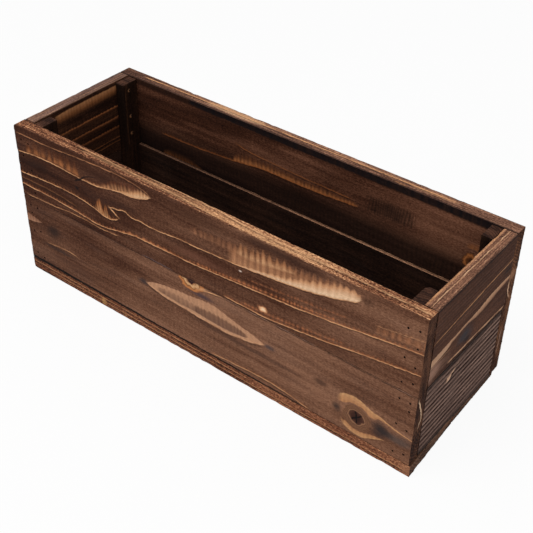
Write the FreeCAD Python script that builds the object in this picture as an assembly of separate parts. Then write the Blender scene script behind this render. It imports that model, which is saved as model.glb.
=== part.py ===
"""Window box planter nailed together from charred softwood boards.

Frame: +X along the length, +Y from the front board to the back board, +Z up.
Origin: centre of the footprint, on the surface that the bottom boards stand on.
All sizes are in millimetres.

The box has a bottom of two boards. Each of its four sides is two boards, one on
the other, set on edge on top of the bottom. The long front and back boards run
past the ends of the box and the end boards are caught between them, so the long
boards' end grain shows at the ends. A post stands in each inner corner, and
brads go through the boards into the posts, the end boards and each other.
"""
import FreeCAD, Part

import os

from FreeCAD import Vector

# Overall sizes.
LENGTH = 450.0
WIDTH = 152.0
WALL_HEIGHT = 155.0

# Thickness of the boards.
FRONT_T = 13.0
BACK_UPPER_T = 13.0
BACK_LOWER_T = 15.5
LEFT_END_T = 12.0
RIGHT_END_T = 13.0
BOTTOM_T = 13.0
ARRIS_R = 0.8

# Height of the lower board of each side. The upper board takes the rest.
FRONT_LOWER_H = 76.0
BACK_LOWER_H = 80.0
END_LOWER_H = 77.0

# How the pieces miss each other a little, as hand-cut boards do.
LEFT_END_INSET = 2.5
BACK_UPPER_SHORT = 2.5
BOTTOM_GAP = 1.0
BOTTOM_SKEW = 3.5

# Corner posts: along X, and along Y in most corners and in the front right one.
POST_T = 11.0
POST_W = 19.0
WIDE_POST_W = 22.5
POST_DROP = 1.0
POST_CHAMFER = 3.5

# Scored lines along the outside of the lower right end board: their spacing, the
# first one's height above the board's lower edge, and their depth and width.
GROOVE_PITCH = 5.75
GROOVE_FIRST = 4.5
GROOVE_DEPTH = 0.9
GROOVE_W = 2.6

# Brads: a wire shank under a small flat head, driven below the surface.
BRAD_R = 0.6
BRAD_HEAD_R = 0.95
BRAD_HEAD_T = 0.7
BRAD_SET = 1.2
SIDE_BRAD_L = 25.0
POST_BRAD_L = 19.0
BOTTOM_BRAD_L = 32.0
POST_COLUMN_SHIFT = 2.0

# Heights of the brads, as shares of the height of the board they are in.
END_COLUMN_UPPER = (0.15, 0.36, 0.60, 0.82)
END_COLUMN_LOWER = (0.12, 0.48, 0.76, 0.88)
POST_COLUMN_UPPER = (0.11, 0.43, 0.80)
POST_COLUMN_LOWER = (0.09, 0.51, 0.88)
POST_BRADS_UPPER = (0.26, 0.51, 0.88)
POST_BRADS_LOWER = (0.30, 0.64)

# Brads up through the bottom: spacing along the sides, and places on the ends.
BOTTOM_BRAD_PITCH = 90.0
BOTTOM_END_BRAD_SHARE = 0.25

# Planes that several pieces share.
LEFT, RIGHT = -LENGTH / 2, LENGTH / 2
FRONT, BACK = -WIDTH / 2, WIDTH / 2
RIM = BOTTOM_T + WALL_HEIGHT
FRONT_INNER = FRONT + FRONT_T
BACK_UPPER_INNER = BACK - BACK_UPPER_T
BACK_LOWER_INNER = BACK - BACK_LOWER_T
LEFT_END_OUTER = LEFT + LEFT_END_INSET
LEFT_END_INNER = LEFT_END_OUTER + LEFT_END_T
RIGHT_END_INNER = RIGHT - RIGHT_END_T
FRONT_SEAM = BOTTOM_T + FRONT_LOWER_H
BACK_SEAM = BOTTOM_T + BACK_LOWER_H
END_SEAM = BOTTOM_T + END_LOWER_H
POST_TOP = RIM - POST_DROP


def edges_along(solid, axis):
    """The straight edges of a solid that run along a unit vector."""
    found = []
    for edge in solid.Edges:
        run = edge.Vertexes[-1].Point - edge.Vertexes[0].Point
        if run.Length > 0 and abs(run.normalize().dot(axis)) > 0.999:
            found.append(edge)
    return found


def block(low, high):
    """A box between two opposite corners."""
    size = Vector(*high) - Vector(*low)
    return Part.makeBox(size.x, size.y, size.z, Vector(*low))


def board(low, high, grain):
    """A board between two corners, with its arrises along the grain eased."""
    solid = block(low, high)
    return solid.makeFillet(ARRIS_R, edges_along(solid, grain))


def bottom_board(y_low, y_high):
    """A bottom board whose right end is sawn out of square with the box."""
    def right_end(y):
        return RIGHT - BOTTOM_SKEW * (y - FRONT) / WIDTH

    corners = [
        Vector(LEFT, y_low, 0),
        Vector(right_end(y_low), y_low, 0),
        Vector(right_end(y_high), y_high, 0),
        Vector(LEFT, y_high, 0),
    ]
    outline = Part.makePolygon(corners + corners[:1])
    solid = Part.Face(outline).extrude(Vector(0, 0, BOTTOM_T))
    return solid.makeFillet(ARRIS_R, edges_along(solid, Vector(1, 0, 0)))


def scored(solid, face_x, y_low, y_high, z_low, z_high):
    """A board with V grooves along the grain of its outer face."""
    cutters = []
    z = z_low + GROOVE_FIRST
    while z < z_high - GROOVE_W:
        section = [
            Vector(face_x + GROOVE_DEPTH, y_low, z),
            Vector(face_x, y_low, z + GROOVE_W / 2),
            Vector(face_x - GROOVE_DEPTH, y_low, z),
            Vector(face_x, y_low, z - GROOVE_W / 2),
        ]
        profile = Part.Face(Part.makePolygon(section + section[:1]))
        cutters.append(profile.extrude(Vector(0, y_high - y_low, 0)))
        z += GROOVE_PITCH
    return solid.cut(cutters)


def post(x_low, y_wall, y_free):
    """A square corner post from the bottom to just under the rim."""
    low = (x_low, min(y_wall, y_free), BOTTOM_T)
    high = (x_low + POST_T, max(y_wall, y_free), POST_TOP)
    return block(low, high)


def chamfered(solid, x, y):
    """A post with the upright edge nearest to a place planed off."""
    def distance(edge):
        middle = edge.CenterOfMass
        return (middle.x - x) ** 2 + (middle.y - y) ** 2

    corner = min(edges_along(solid, Vector(0, 0, 1)), key=distance)
    return solid.makeChamfer(POST_CHAMFER, [corner])


def brad(face_point, direction, length):
    """A brad driven in from a point on a face, and the hole that it makes.

    Returns the brad and its hole. The hole is the size of the brad, open to the
    face over the depth that the head is set.
    """
    head_at = face_point + direction * BRAD_SET
    shank = Part.makeCylinder(BRAD_R, length, head_at, direction)
    head = Part.makeCylinder(BRAD_HEAD_R, BRAD_HEAD_T, head_at, direction)
    mouth = Part.makeCylinder(
        BRAD_HEAD_R, 2 * BRAD_SET + BRAD_HEAD_T, head_at - direction * 2 * BRAD_SET, direction
    )
    return shank.fuse(head), shank.fuse(mouth)


def heights(z_low, z_high, shares):
    """Heights in a board, from shares of the board's own height."""
    return [z_low + share * (z_high - z_low) for share in shares]


def columns(seam, upper, lower):
    """Heights of one column of brads through both boards of a side."""
    return heights(BOTTOM_T, seam, lower) + heights(seam, RIM, upper)


# X of the two columns of brads at each end of the front and back boards: one
# into the end board's end grain, one into the post beside it.
END_COLUMN_X = (LEFT_END_OUTER + LEFT_END_T / 2, RIGHT_END_INNER + RIGHT_END_T / 2)
POST_COLUMN_X = (
    LEFT_END_INNER + POST_T / 2 - POST_COLUMN_SHIFT,
    RIGHT_END_INNER - POST_T / 2 + POST_COLUMN_SHIFT,
)
POST_MID_Y = (
    FRONT_INNER + POST_W / 2,
    (BACK_LOWER_INNER + BACK_UPPER_INNER - POST_W) / 2,
)
INWARD = Vector(0, 1, 0)


def side_brads(face_y, direction, seam):
    """Brads through the front or back boards into the end boards and posts."""
    driven = []
    for x in END_COLUMN_X:
        for z in columns(seam, END_COLUMN_UPPER, END_COLUMN_LOWER):
            driven.append(brad(Vector(x, face_y, z), direction, SIDE_BRAD_L))
    for x in POST_COLUMN_X:
        for z in columns(seam, POST_COLUMN_UPPER, POST_COLUMN_LOWER):
            driven.append(brad(Vector(x, face_y, z), direction, SIDE_BRAD_L))
    return driven


def post_brads():
    """Brads from inside the box, through the posts into the end boards."""
    driven = []
    ends = (
        (LEFT_END_INNER + POST_T, Vector(-1, 0, 0)),
        (RIGHT_END_INNER - POST_T, Vector(1, 0, 0)),
    )
    for face_x, direction in ends:
        for y in POST_MID_Y:
            for z in columns(END_SEAM, POST_BRADS_UPPER, POST_BRADS_LOWER):
                driven.append(brad(Vector(face_x, y, z), direction, POST_BRAD_L))
    return driven


def bottom_brads():
    """Brads up through the bottom boards into the lower edges of the walls."""
    up = Vector(0, 0, 1)
    count = int((LENGTH / 2 - POST_T - RIGHT_END_T) // BOTTOM_BRAD_PITCH)
    places = []
    for y in (FRONT + FRONT_T / 2, BACK - BACK_LOWER_T / 2):
        for step in range(-count, count + 1):
            places.append((step * BOTTOM_BRAD_PITCH, y))
    for x in END_COLUMN_X:
        for side in (-1, 1):
            places.append((x, side * BOTTOM_END_BRAD_SHARE * WIDTH))
    return [brad(Vector(x, y, 0), up, BOTTOM_BRAD_L) for x, y in places]


def end_board(x_low, x_high, z_low, z_high, back_inner):
    """One board of an end, caught between the front and back boards."""
    return board((x_low, FRONT_INNER, z_low), (x_high, back_inner, z_high), Vector(0, 1, 0))


def wooden_pieces():
    """Every board and post before the brads go in, by name."""
    along = Vector(1, 0, 0)
    right_lower = end_board(RIGHT_END_INNER, RIGHT, BOTTOM_T, END_SEAM, BACK_LOWER_INNER)
    pieces = {
        "front_upper_board": board((LEFT, FRONT, FRONT_SEAM), (RIGHT, FRONT_INNER, RIM), along),
        "front_lower_board": board((LEFT, FRONT, BOTTOM_T), (RIGHT, FRONT_INNER, FRONT_SEAM), along),
        "back_upper_board": board(
            (LEFT + BACK_UPPER_SHORT, BACK_UPPER_INNER, BACK_SEAM), (RIGHT, BACK, RIM), along
        ),
        "back_lower_board": board((LEFT, BACK_LOWER_INNER, BOTTOM_T), (RIGHT, BACK, BACK_SEAM), along),
        "left_end_upper_board": end_board(
            LEFT_END_OUTER, LEFT_END_INNER, END_SEAM, RIM, BACK_UPPER_INNER
        ),
        "left_end_lower_board": end_board(
            LEFT_END_OUTER, LEFT_END_INNER, BOTTOM_T, END_SEAM, BACK_LOWER_INNER
        ),
        "right_end_upper_board": end_board(
            RIGHT_END_INNER, RIGHT, END_SEAM, RIM, BACK_UPPER_INNER
        ),
        "right_end_lower_board": scored(
            right_lower, RIGHT, FRONT_INNER, BACK_LOWER_INNER, BOTTOM_T, END_SEAM
        ),
        "bottom_front_board": bottom_board(FRONT, -BOTTOM_GAP / 2),
        "bottom_back_board": bottom_board(BOTTOM_GAP / 2, BACK),
        "front_left_post": post(LEFT_END_INNER, FRONT_INNER, FRONT_INNER + POST_W),
        "front_right_post": chamfered(
            post(RIGHT_END_INNER - POST_T, FRONT_INNER, FRONT_INNER + WIDE_POST_W),
            RIGHT_END_INNER - POST_T,
            FRONT_INNER + WIDE_POST_W,
        ),
        "back_left_post": post(LEFT_END_INNER, BACK_UPPER_INNER, BACK_UPPER_INNER - POST_W),
        "back_right_post": post(
            RIGHT_END_INNER - POST_T, BACK_UPPER_INNER, BACK_UPPER_INNER - POST_W
        ),
    }
    # The lower back board is thicker than the upper one, so its top is a ledge
    # inside the box. What meets the back wall is notched to pass that ledge.
    ledge = block((LEFT, BACK_LOWER_INNER, BOTTOM_T), (RIGHT, BACK, BACK_SEAM))
    notched = (
        "left_end_upper_board", "right_end_upper_board", "back_left_post", "back_right_post"
    )
    for name in notched:
        pieces[name] = pieces[name].cut(ledge)
    return pieces


def drilled(solid, holes):
    """A board or post with the holes that reach it."""
    reaching = [hole for hole in holes if hole.BoundBox.intersect(solid.BoundBox)]
    return solid.cut(reaching) if reaching else solid


def build():
    """Every piece of the planter, by the name of its sub-part."""
    driven = {
        "front_brads": side_brads(FRONT, INWARD, FRONT_SEAM),
        "back_brads": side_brads(BACK, -INWARD, BACK_SEAM),
        "post_brads": post_brads(),
        "bottom_brads": bottom_brads(),
    }
    holes = [hole for group in driven.values() for _, hole in group]
    pieces = {name: drilled(solid, holes) for name, solid in wooden_pieces().items()}
    for name, group in driven.items():
        pieces[name] = Part.makeCompound([pin for pin, _ in group])
    return pieces


os.makedirs("parts", exist_ok=True)
for piece_name, piece in build().items():
    piece.exportStep(f"parts/{piece_name}.step")
    box = piece.BoundBox
    print(
        f"{piece_name}: {len(piece.Solids)} solid(s), {piece.Volume:.0f} mm3,"
        f" x {box.XMin:.1f}..{box.XMax:.1f}, y {box.YMin:.1f}..{box.YMax:.1f},"
        f" z {box.ZMin:.1f}..{box.ZMax:.1f}"
    )
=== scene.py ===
"""Looks of a window box planter: charred, brushed softwood boards nailed into a trough.

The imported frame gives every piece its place. Each board is modelled again with its
brushed grain, worn arrises and rough end grain, and dressed in its own burnt finish.
Lengths in the finishes are in millimetres, along and across the grain. Meshes are in
metres, in the frame's own axes: +X along the box, +Y from front to back, +Z up.
"""
from __future__ import annotations

import logging
import math
from dataclasses import dataclass, field
from enum import Enum
from typing import Callable, Sequence, Union

import bmesh
import bpy
from mathutils import Matrix, Vector, noise

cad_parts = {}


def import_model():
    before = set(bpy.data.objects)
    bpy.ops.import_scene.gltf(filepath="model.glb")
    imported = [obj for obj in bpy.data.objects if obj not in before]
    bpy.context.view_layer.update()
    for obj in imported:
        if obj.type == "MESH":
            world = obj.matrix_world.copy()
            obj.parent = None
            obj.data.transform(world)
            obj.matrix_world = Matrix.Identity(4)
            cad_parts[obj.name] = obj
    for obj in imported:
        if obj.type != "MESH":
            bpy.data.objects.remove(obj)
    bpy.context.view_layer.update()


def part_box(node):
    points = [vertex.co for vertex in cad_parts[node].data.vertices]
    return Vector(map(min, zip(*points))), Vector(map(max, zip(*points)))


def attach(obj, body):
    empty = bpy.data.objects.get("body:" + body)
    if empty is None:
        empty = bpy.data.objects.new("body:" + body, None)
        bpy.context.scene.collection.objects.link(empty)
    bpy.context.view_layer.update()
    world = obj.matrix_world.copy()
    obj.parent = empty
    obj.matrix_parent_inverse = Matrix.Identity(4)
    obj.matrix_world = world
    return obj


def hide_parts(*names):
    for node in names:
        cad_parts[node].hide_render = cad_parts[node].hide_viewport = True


LOG = logging.getLogger("planter")
MM = 0.001
BODY = "root"

Points = Sequence[tuple[float, float]]
Shade = tuple[int, int, int]
Socket = bpy.types.NodeSocket
BradHeights = tuple[Sequence[float], Sequence[float]]


# ---------------------------------------------------------------------------
# Colours and axes
# ---------------------------------------------------------------------------


def paint(shade: Shade) -> tuple[float, float, float, float]:
    """A colour as written on screen, from 0 to 255, as linear light with alpha 1.

    Args:
        shade: Red, green and blue from 0 to 255.

    Returns:
        The colour for a shader's socket.
    """
    def linear(channel: float) -> float:
        """One channel in linear light."""
        c = channel / 255.0
        return c / 12.92 if c <= 0.04045 else ((c + 0.055) / 1.055) ** 2.4

    return (*(linear(channel) for channel in shade), 1.0)


class Lay(Enum):
    """How a face's wood lies: its axes along the grain, across it, and into it."""

    FRONT = (0, 2, 1)
    FLAT = (0, 1, 2)
    END = (1, 2, 0)
    END_RIM = (1, 0, 2)
    POST_X = (2, 1, 0)
    POST_Y = (2, 0, 1)


# ---------------------------------------------------------------------------
# Shader graph
# ---------------------------------------------------------------------------


def operator(operation: str, swapped: bool = False) -> Callable[..., Signal]:
    """Makes a Signal's method for one operation of a Math node.

    Args:
        operation: The Math node's operation.
        swapped: Whether the signal comes second, as in 1 - signal.

    Returns:
        The method.
    """
    def apply(self: Signal, *other: Number) -> Signal:
        """The operation on this, and on another number where it takes two."""
        terms = (*other, self) if swapped else (self, *other)
        made = self.tree.node("ShaderNodeMath", {"operation": operation}, dict(enumerate(terms)))
        return Signal(self.tree, made.outputs[0])

    return apply


class Signal:
    """A number that varies over a surface, as a socket that operators extend."""

    def __init__(self, tree: Tree, socket: Socket) -> None:
        """Wraps a socket of a tree."""
        self.tree = tree
        self.socket = socket

    __add__, __radd__ = operator("ADD"), operator("ADD", True)
    __sub__, __rsub__ = operator("SUBTRACT"), operator("SUBTRACT", True)
    __mul__, __rmul__ = operator("MULTIPLY"), operator("MULTIPLY", True)
    __truediv__, __pow__, __abs__ = operator("DIVIDE"), operator("POWER"), operator("ABSOLUTE")
    most = operator("MAXIMUM")
    fraction, whole, wave = operator("FRACT"), operator("FLOOR"), operator("SINE")

    def _step(
        self, low: Number, high: Number, first: float, last: float, kind: str = "SMOOTHSTEP"
    ) -> Signal:
        """The result of a Map Range node, which stays between its ends."""
        made = self.tree.node(
            "ShaderNodeMapRange",
            {"interpolation_type": kind},
            {"Value": self, "From Min": low, "From Max": high, "To Min": first, "To Max": last},
        )
        return Signal(self.tree, made.outputs["Result"])

    def rise(self, low: Number, high: Number) -> Signal:
        """A smooth step of this, from 0 at low to 1 at high."""
        return self._step(low, high, 0, 1)

    def fall(self, low: Number, high: Number) -> Signal:
        """A smooth step of this, from 1 at low to 0 at high."""
        return self._step(low, high, 1, 0)

    def between(self, low: Number, high: Number) -> Signal:
        """How far this is on the way from low to high, from 0 to 1."""
        return self._step(low, high, 0, 1, "LINEAR")

    def spread(self, low: float, high: float) -> Signal:
        """This, from 0 to 1, as a number from low to high."""
        return self._step(0, 1, low, high, "LINEAR")


Number = Union[Signal, float]


class Tree:
    """The nodes of a material or a world, which all come from one method."""

    def __init__(self, owner: bpy.types.Material | bpy.types.World) -> None:
        """Empties the tree of a new material or world."""
        owner.use_nodes = True
        self.nodes = owner.node_tree.nodes
        self.links = owner.node_tree.links
        self.nodes.clear()

    def node(
        self, kind: str, settings: dict | None = None, inputs: dict | None = None
    ) -> bpy.types.Node:
        """A node with its settings made first and its sockets fed after.

        Args:
            kind: The node's type.
            settings: Its properties. "stops" are a colour ramp's places and colours,
                and "points" a float curve's places and values.
            inputs: A number, colour, socket or Signal by each socket's name or index.

        Returns:
            The node.
        """
        made = self.nodes.new(kind)
        for key, value in (settings or {}).items():
            if key == "stops":
                self._set_stops(made, value)
            elif key == "points":
                self._set_points(made, value)
            else:
                setattr(made, key, value)
        for key, value in (inputs or {}).items():
            socket = made.inputs[key]
            if isinstance(value, Signal):
                value = value.socket
            if isinstance(value, bpy.types.NodeSocket):
                self.links.new(value, socket)
            else:
                socket.default_value = value
        return made

    @staticmethod
    def _set_stops(made: bpy.types.Node, stops: Sequence[tuple[float, Shade, float]]) -> None:
        """Sets a colour ramp's stops."""
        elements = made.color_ramp.elements
        while len(elements) < len(stops):
            elements.new(1.0)
        for element, (at, shade, share) in zip(elements, stops):
            element.position = at
            element.color = (*paint(shade)[:3], share)

    @staticmethod
    def _set_points(made: bpy.types.Node, points: Points) -> None:
        """Sets a float curve's points."""
        made.mapping.extend = "HORIZONTAL"
        curve = made.mapping.curves[0]
        while len(curve.points) < len(points):
            curve.points.new(0.5, 0.5)
        for point, place in zip(curve.points, points):
            point.location = place
        made.mapping.update()

    def seen(self) -> Signal:
        """Whether the camera sees a point, straight or in a gloss."""
        path = self.node("ShaderNodeLightPath")
        rays = ("Is Camera Ray", "Is Glossy Ray", "Is Transmission Ray")
        straight, gloss, clear = (Signal(self, path.outputs[ray]) for ray in rays)
        return straight.most(gloss).most(clear)


class Graph(Tree):
    """The nodes of one wood or metal, with places on it in millimetres."""

    def __init__(self, name: str, lay: Lay) -> None:
        """Starts an empty material.

        Args:
            name: The material's name.
            lay: How the wood of the face lies.
        """
        self.lay = lay
        self.material = bpy.data.materials.new(name)
        super().__init__(self.material)
        coordinates = self.node("ShaderNodeTexCoord")
        scaled = self.node(
            "ShaderNodeVectorMath",
            {"operation": "SCALE"},
            {0: coordinates.outputs["Object"], "Scale": 1 / MM},
        )
        parts = self.node("ShaderNodeSeparateXYZ", {}, {0: scaled.outputs[0]})
        axes = [Signal(self, parts.outputs[axis]) for axis in lay.value]
        made = self.node("ShaderNodeCombineXYZ", {}, dict(enumerate(axes)))
        self.u, self.v, _ = axes
        self.place = made.outputs[0]

    def noise(
        self, blot: tuple[float, float], detail: float, shift: float = 0, rough: float = 0.5
    ) -> Signal:
        """Noise whose blots have a size along and across the grain.

        Args:
            blot: A blot's length along the grain, and its width across it.
            detail: How many finer layers are in it.
            shift: Moves the pattern, so that two noises differ.
            rough: How strong the finer layers are.

        Returns:
            A signal from 0 to 1, about 0.5 on the whole.
        """
        along, across = blot
        stretched = self.node(
            "ShaderNodeVectorMath",
            {"operation": "MULTIPLY_ADD"},
            {0: self.place, 1: (1 / along, 1 / across, 1 / across), 2: (shift, shift * 1.7, 0)},
        )
        made = self.node(
            "ShaderNodeTexNoise",
            {"noise_dimensions": "3D"},
            {"Vector": stretched.outputs[0], "Scale": 1, "Detail": detail, "Roughness": rough},
        )
        return Signal(self, made.outputs[0])

    def oval(
        self, centre: tuple[float, float], radii: tuple[float, float] = (1, 1)
    ) -> tuple[Signal, Signal, Signal]:
        """Places round a centre.

        Args:
            centre: The centre, along and across the grain.
            radii: The radii along and across the grain that count as one.

        Returns:
            How far a place is along the grain, across it and in a straight line.
        """
        along = (self.u - centre[0]) / radii[0]
        across = (self.v - centre[1]) / radii[1]
        return along, across, (along * along + across * across) ** 0.5

    def line(self, points: Points) -> Signal:
        """The height across the grain of a line that is drawn along it.

        Args:
            points: Places along and across the grain that the line passes.

        Returns:
            The line's height at each place along the grain.
        """
        start, end = points[0][0], points[-1][0]
        low = min(v for _, v in points) - 1.0
        high = max(v for _, v in points) + 1.0
        scaled = [((u - start) / (end - start), (v - low) / (high - low)) for u, v in points]
        read_at = self.u.between(start, end)
        made = self.node("ShaderNodeFloatCurve", {"points": scaled}, {"Value": read_at})
        return Signal(self, made.outputs[0]).spread(low, high)

    def mix(self, share: Number, first: object, second: object) -> Socket:
        """One colour turning into another.

        Args:
            share: How much of the second colour shows.
            first: A shade or a colour socket.
            second: A shade or a colour socket.

        Returns:
            The mixed colour.
        """
        colours = [paint(c) if isinstance(c, tuple) else c for c in (first, second)]
        made = self.node(
            "ShaderNodeMix",
            {"data_type": "RGBA", "clamp_factor": True},
            {0: share, 6: colours[0], 7: colours[1]},
        )
        return made.outputs[2]

    def ramp(self, value: Signal, stops: Sequence[tuple[float, Shade]]) -> Socket:
        """Colours along a value."""
        return self.fade(value, [(at, shade, 1.0) for at, shade in stops])[0]

    def fade(
        self, value: Signal, stops: Sequence[tuple[float, Shade, float]]
    ) -> tuple[Socket, Signal]:
        """Colours along a value, and how much of them shows.

        Args:
            value: The value, from 0 to 1.
            stops: A place, a colour and its share, from 0 to 1, at each stop.

        Returns:
            The colour and its share.
        """
        made = self.node("ShaderNodeValToRGB", {"stops": stops}, {"Fac": value})
        return made.outputs["Color"], Signal(self, made.outputs["Alpha"])

    def finish(
        self, colour: Socket, roughness: Number, height: Number, gloss: float, metal: float = 0
    ) -> None:
        """Joins colour, roughness and relief in the shader.

        Args:
            colour: The base colour.
            roughness: From 0, polished, to 1, matt.
            height: The fine relief, in millimetres.
            gloss: The specular level, the same all over.
            metal: 1 on a metal.
        """
        bump = self.node("ShaderNodeBump", {}, {"Height": height, "Distance": MM, "Strength": 1})
        shader = self.node(
            "ShaderNodeBsdfPrincipled",
            {},
            {
                "Base Color": colour,
                "Roughness": roughness,
                "Metallic": metal,
                "Specular IOR Level": gloss,
                "Normal": bump.outputs[0],
            },
        )
        self.node("ShaderNodeOutputMaterial", {}, {"Surface": shader.outputs[0]})


# ---------------------------------------------------------------------------
# Marks that fire and brush left on the wood
# ---------------------------------------------------------------------------

# Sizes of the blots of each random pattern, along and across the grain.
PATCH, JAG, SWAY, LOOSE_BAR, SWIRL = (15, 7), (3.4, 3.4), (30, 50), (2.6, 14), (5, 5)
TORN_RIDGE, BEND = (24, 2.6), (150, 42)
BAND, FIELD, HAIR, SPECK, HAZE = (130, 5), (85, 24), (24, 0.9), (2.2, 1), (50, 12)
RING_WARP, END_FIBRE, END_BLOT, END_CHECK = (14, 14), (1.7, 0.7), (20, 6), (40, 1.3)
TARNISH = (0.8, 0.8)

RING_PITCH = 2.9
LINE_TAPER = (2, 6)  # how far past and short of its ends a line fades
PATCH_TAPER = (2, 4)
BAR_PITCH = 4.3  # the usual spacing of the bars that the brush chattered across the grain
WOOD_ENDS = (225.0, 63.0, 200.0)  # where wood along X, Y or Z ends, or past it
# The colour of the painted shadow under a pale ridge.
RIDGE_SHADOW = (36, 23, 19)
CRACK = (18, 14, 14)
SMOKE = (86, 74, 70)
TONE_STOPS = (0.26, 0.42, 0.58, 0.8)
CHAR = (30, 20, 17)
CHECK = (16, 12, 11)


class Figure:
    """The random patterns that all marks of one face share."""

    def __init__(self, g: Graph, seed: float) -> None:
        """Starts the patterns of one face.

        Args:
            g: The graph to draw in.
            seed: Moves the patterns.
        """
        self.patch = g.noise(PATCH, 2, seed + 6.4)
        jag = g.noise(JAG, 1, seed + 2.2) * 1.1
        self.place = (self.patch - 0.5) * 1.5 + (jag - 0.55) + g.v
        self.lit = (self.patch + jag * 0.35).rise(0.48, 0.82) * 0.65 + 0.35
        self.sway = g.noise(SWAY, 1, seed + 1.9) * 12.0 + g.u
        self.loose = g.noise(LOOSE_BAR, 2, seed + 5.5) * 1.4 - 0.2
        self.combs: dict[float, Signal] = {}

    def gaps(self, pitch: float) -> Signal:
        """The gaps between the bars that the brush chattered across the grain.

        Args:
            pitch: The spacing of the bars.

        Returns:
            From 0 on a bar to 1 between two.
        """
        if pitch not in self.combs:
            wave = (self.sway * (math.tau / pitch)).wave() * 0.26
            self.combs[pitch] = wave + self.loose
        return self.combs[pitch]


@dataclass(frozen=True)
class PaleLine:
    """A pale ridge of grain left by the brush: a scorched glow above it, painted shadow under it.

    Attributes:
        run: Places along and across the grain that it passes.
        strength: How much of the pale colour shows.
        thick: How thick the bright core is.
        glow: How far up the glow reaches.
        heat: How much of the glow shows.
        shade: The pale colour.
        ember: The colour of the glow.
        shadow: How dark the painted shadow under it is.
        pitch: The spacing of the beads in the glow.
    """

    run: Points
    strength: float = 0.95
    thick: float = 0.8
    glow: float = 4.0
    heat: float = 0.7
    shade: Shade = (226, 168, 120)
    ember: Shade = (150, 92, 56)
    shadow: float = 0.5
    pitch: float = BAR_PITCH

    def over(self, g: Graph, colour: Socket, figure: Figure) -> tuple[Socket, Signal]:
        """Lays the line over a colour.

        Args:
            g: The graph to draw in.
            colour: The colour under it.
            figure: The face's shared patterns.

        Returns:
            The colour with the line, and the raised part.
        """
        above = figure.place - g.line(self.run)
        start, end = self.run[0][0], self.run[-1][0]
        out, back = LINE_TAPER
        reach = g.u.rise(start - out, start + back) * g.u.fall(end - back, end + out)
        if self.heat > 0:
            top = (1.3 - figure.gaps(self.pitch)) * self.glow
            glow, share = g.fade(
                above.between(-0.4, top),
                ((0.0, self.ember, 0.0), (0.15, self.ember, self.heat),
                 (0.5, self.ember, self.heat * 0.55), (1.0, self.ember, 0.0)),
            )
            colour = g.mix(share * reach, colour, glow)
        # The dark line under the ridge is painted shadow.
        burnt = RIDGE_SHADOW
        core, share = g.fade(
            above.between(-2.6 * self.thick, 1.2 * self.thick),
            ((0.0, burnt, 0.0), (0.3, burnt, self.shadow), (0.52, burnt, self.shadow),
             (0.64, self.shade, self.strength), (0.86, self.shade, self.strength),
             (1.0, self.ember, 0.0)),
        )
        raised = share * reach * figure.lit
        return g.mix(raised, colour, core), raised


@dataclass(frozen=True)
class Flame:
    """A patch between two lines where the fire left another colour.

    Attributes:
        lower: The lower edge.
        upper: The upper edge.
        shade: The patch's colour at its lower edge.
        top_shade: Its colour at the upper edge.
        strength: How much of the colour shows.
        licks: How far the dark comes down between the bars at the upper edge.
        soft: How soft the lower and the upper edge are.
        streaks: How much of the colour the gaps between the bars take away.
        pitch: The spacing of the bars.
    """

    lower: Points
    upper: Points
    shade: Shade
    top_shade: Shade
    strength: float = 0.9
    licks: float = 0.0
    soft: tuple[float, float] = (0.8, 2.0)
    streaks: float = 0.3
    pitch: float = BAR_PITCH

    @staticmethod
    def _read(points: Points, u: float) -> float:
        """The height of a line at one place along the grain."""
        for (u_0, v_0), (u_1, v_1) in zip(points, points[1:]):
            if u <= u_1:
                return v_0 + (v_1 - v_0) * max(0.0, u - u_0) / (u_1 - u_0)
        return points[-1][1]

    def _height(self, u: float) -> float:
        """The patch's height at one place along the grain."""
        return self._read(self.upper, u) - self._read(self.lower, u)

    def over(self, g: Graph, colour: Socket, figure: Figure) -> Socket:
        """Lays the patch over a colour."""
        tall = max(self._height(u) for u, _ in (*self.lower, *self.upper))
        low, gaps = g.line(self.lower), figure.gaps(self.pitch)
        top = g.line(self.upper)
        if self.licks > 0:
            top = (top - low) * (1.0 - gaps * (self.licks / tall)) + low
        foot = min(0.45, self.soft[0] / tall)
        head = 1.0 - min(0.5, self.soft[1] / tall)
        tint, share = g.fade(
            figure.place.between(low, top),
            ((0.0, self.shade, 0.0), (foot, self.shade, self.strength),
             (head, self.top_shade, self.strength), (1.0, self.top_shade, 0.0)),
        )
        if self.streaks > 0:
            share = share * (1.0 - gaps * self.streaks)
        start = max(self.lower[0][0], self.upper[0][0])
        end = min(self.lower[-1][0], self.upper[-1][0])
        edge, (out, back) = WOOD_ENDS[g.lay.value[0]], PATCH_TAPER
        if start > -edge and self._height(start) > 0.1:
            share = share * g.u.rise(start - out, start + back)
        if end < edge and self._height(end) > 0.1:
            share = share * g.u.fall(end - back, end + out)
        return g.mix(share, colour, tint)


def band(
    run: tuple[float, float], foot: tuple[float, float], head: tuple[float, float],
    shade: Shade, top_shade: Shade | None = None, **how: object,
) -> Flame:
    """A patch with straight edges.

    Args:
        run: Where it starts and ends along the grain.
        foot: The height of its lower edge at its start and its end.
        head: The height of its upper edge there.
        shade: Its colour at its lower edge.
        top_shade: Its colour at the upper edge, if that is another.
        how: Any other attributes of a patch.

    Returns:
        The patch.
    """
    return Flame(tuple(zip(run, foot)), tuple(zip(run, head)), shade, top_shade or shade, **how)


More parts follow.
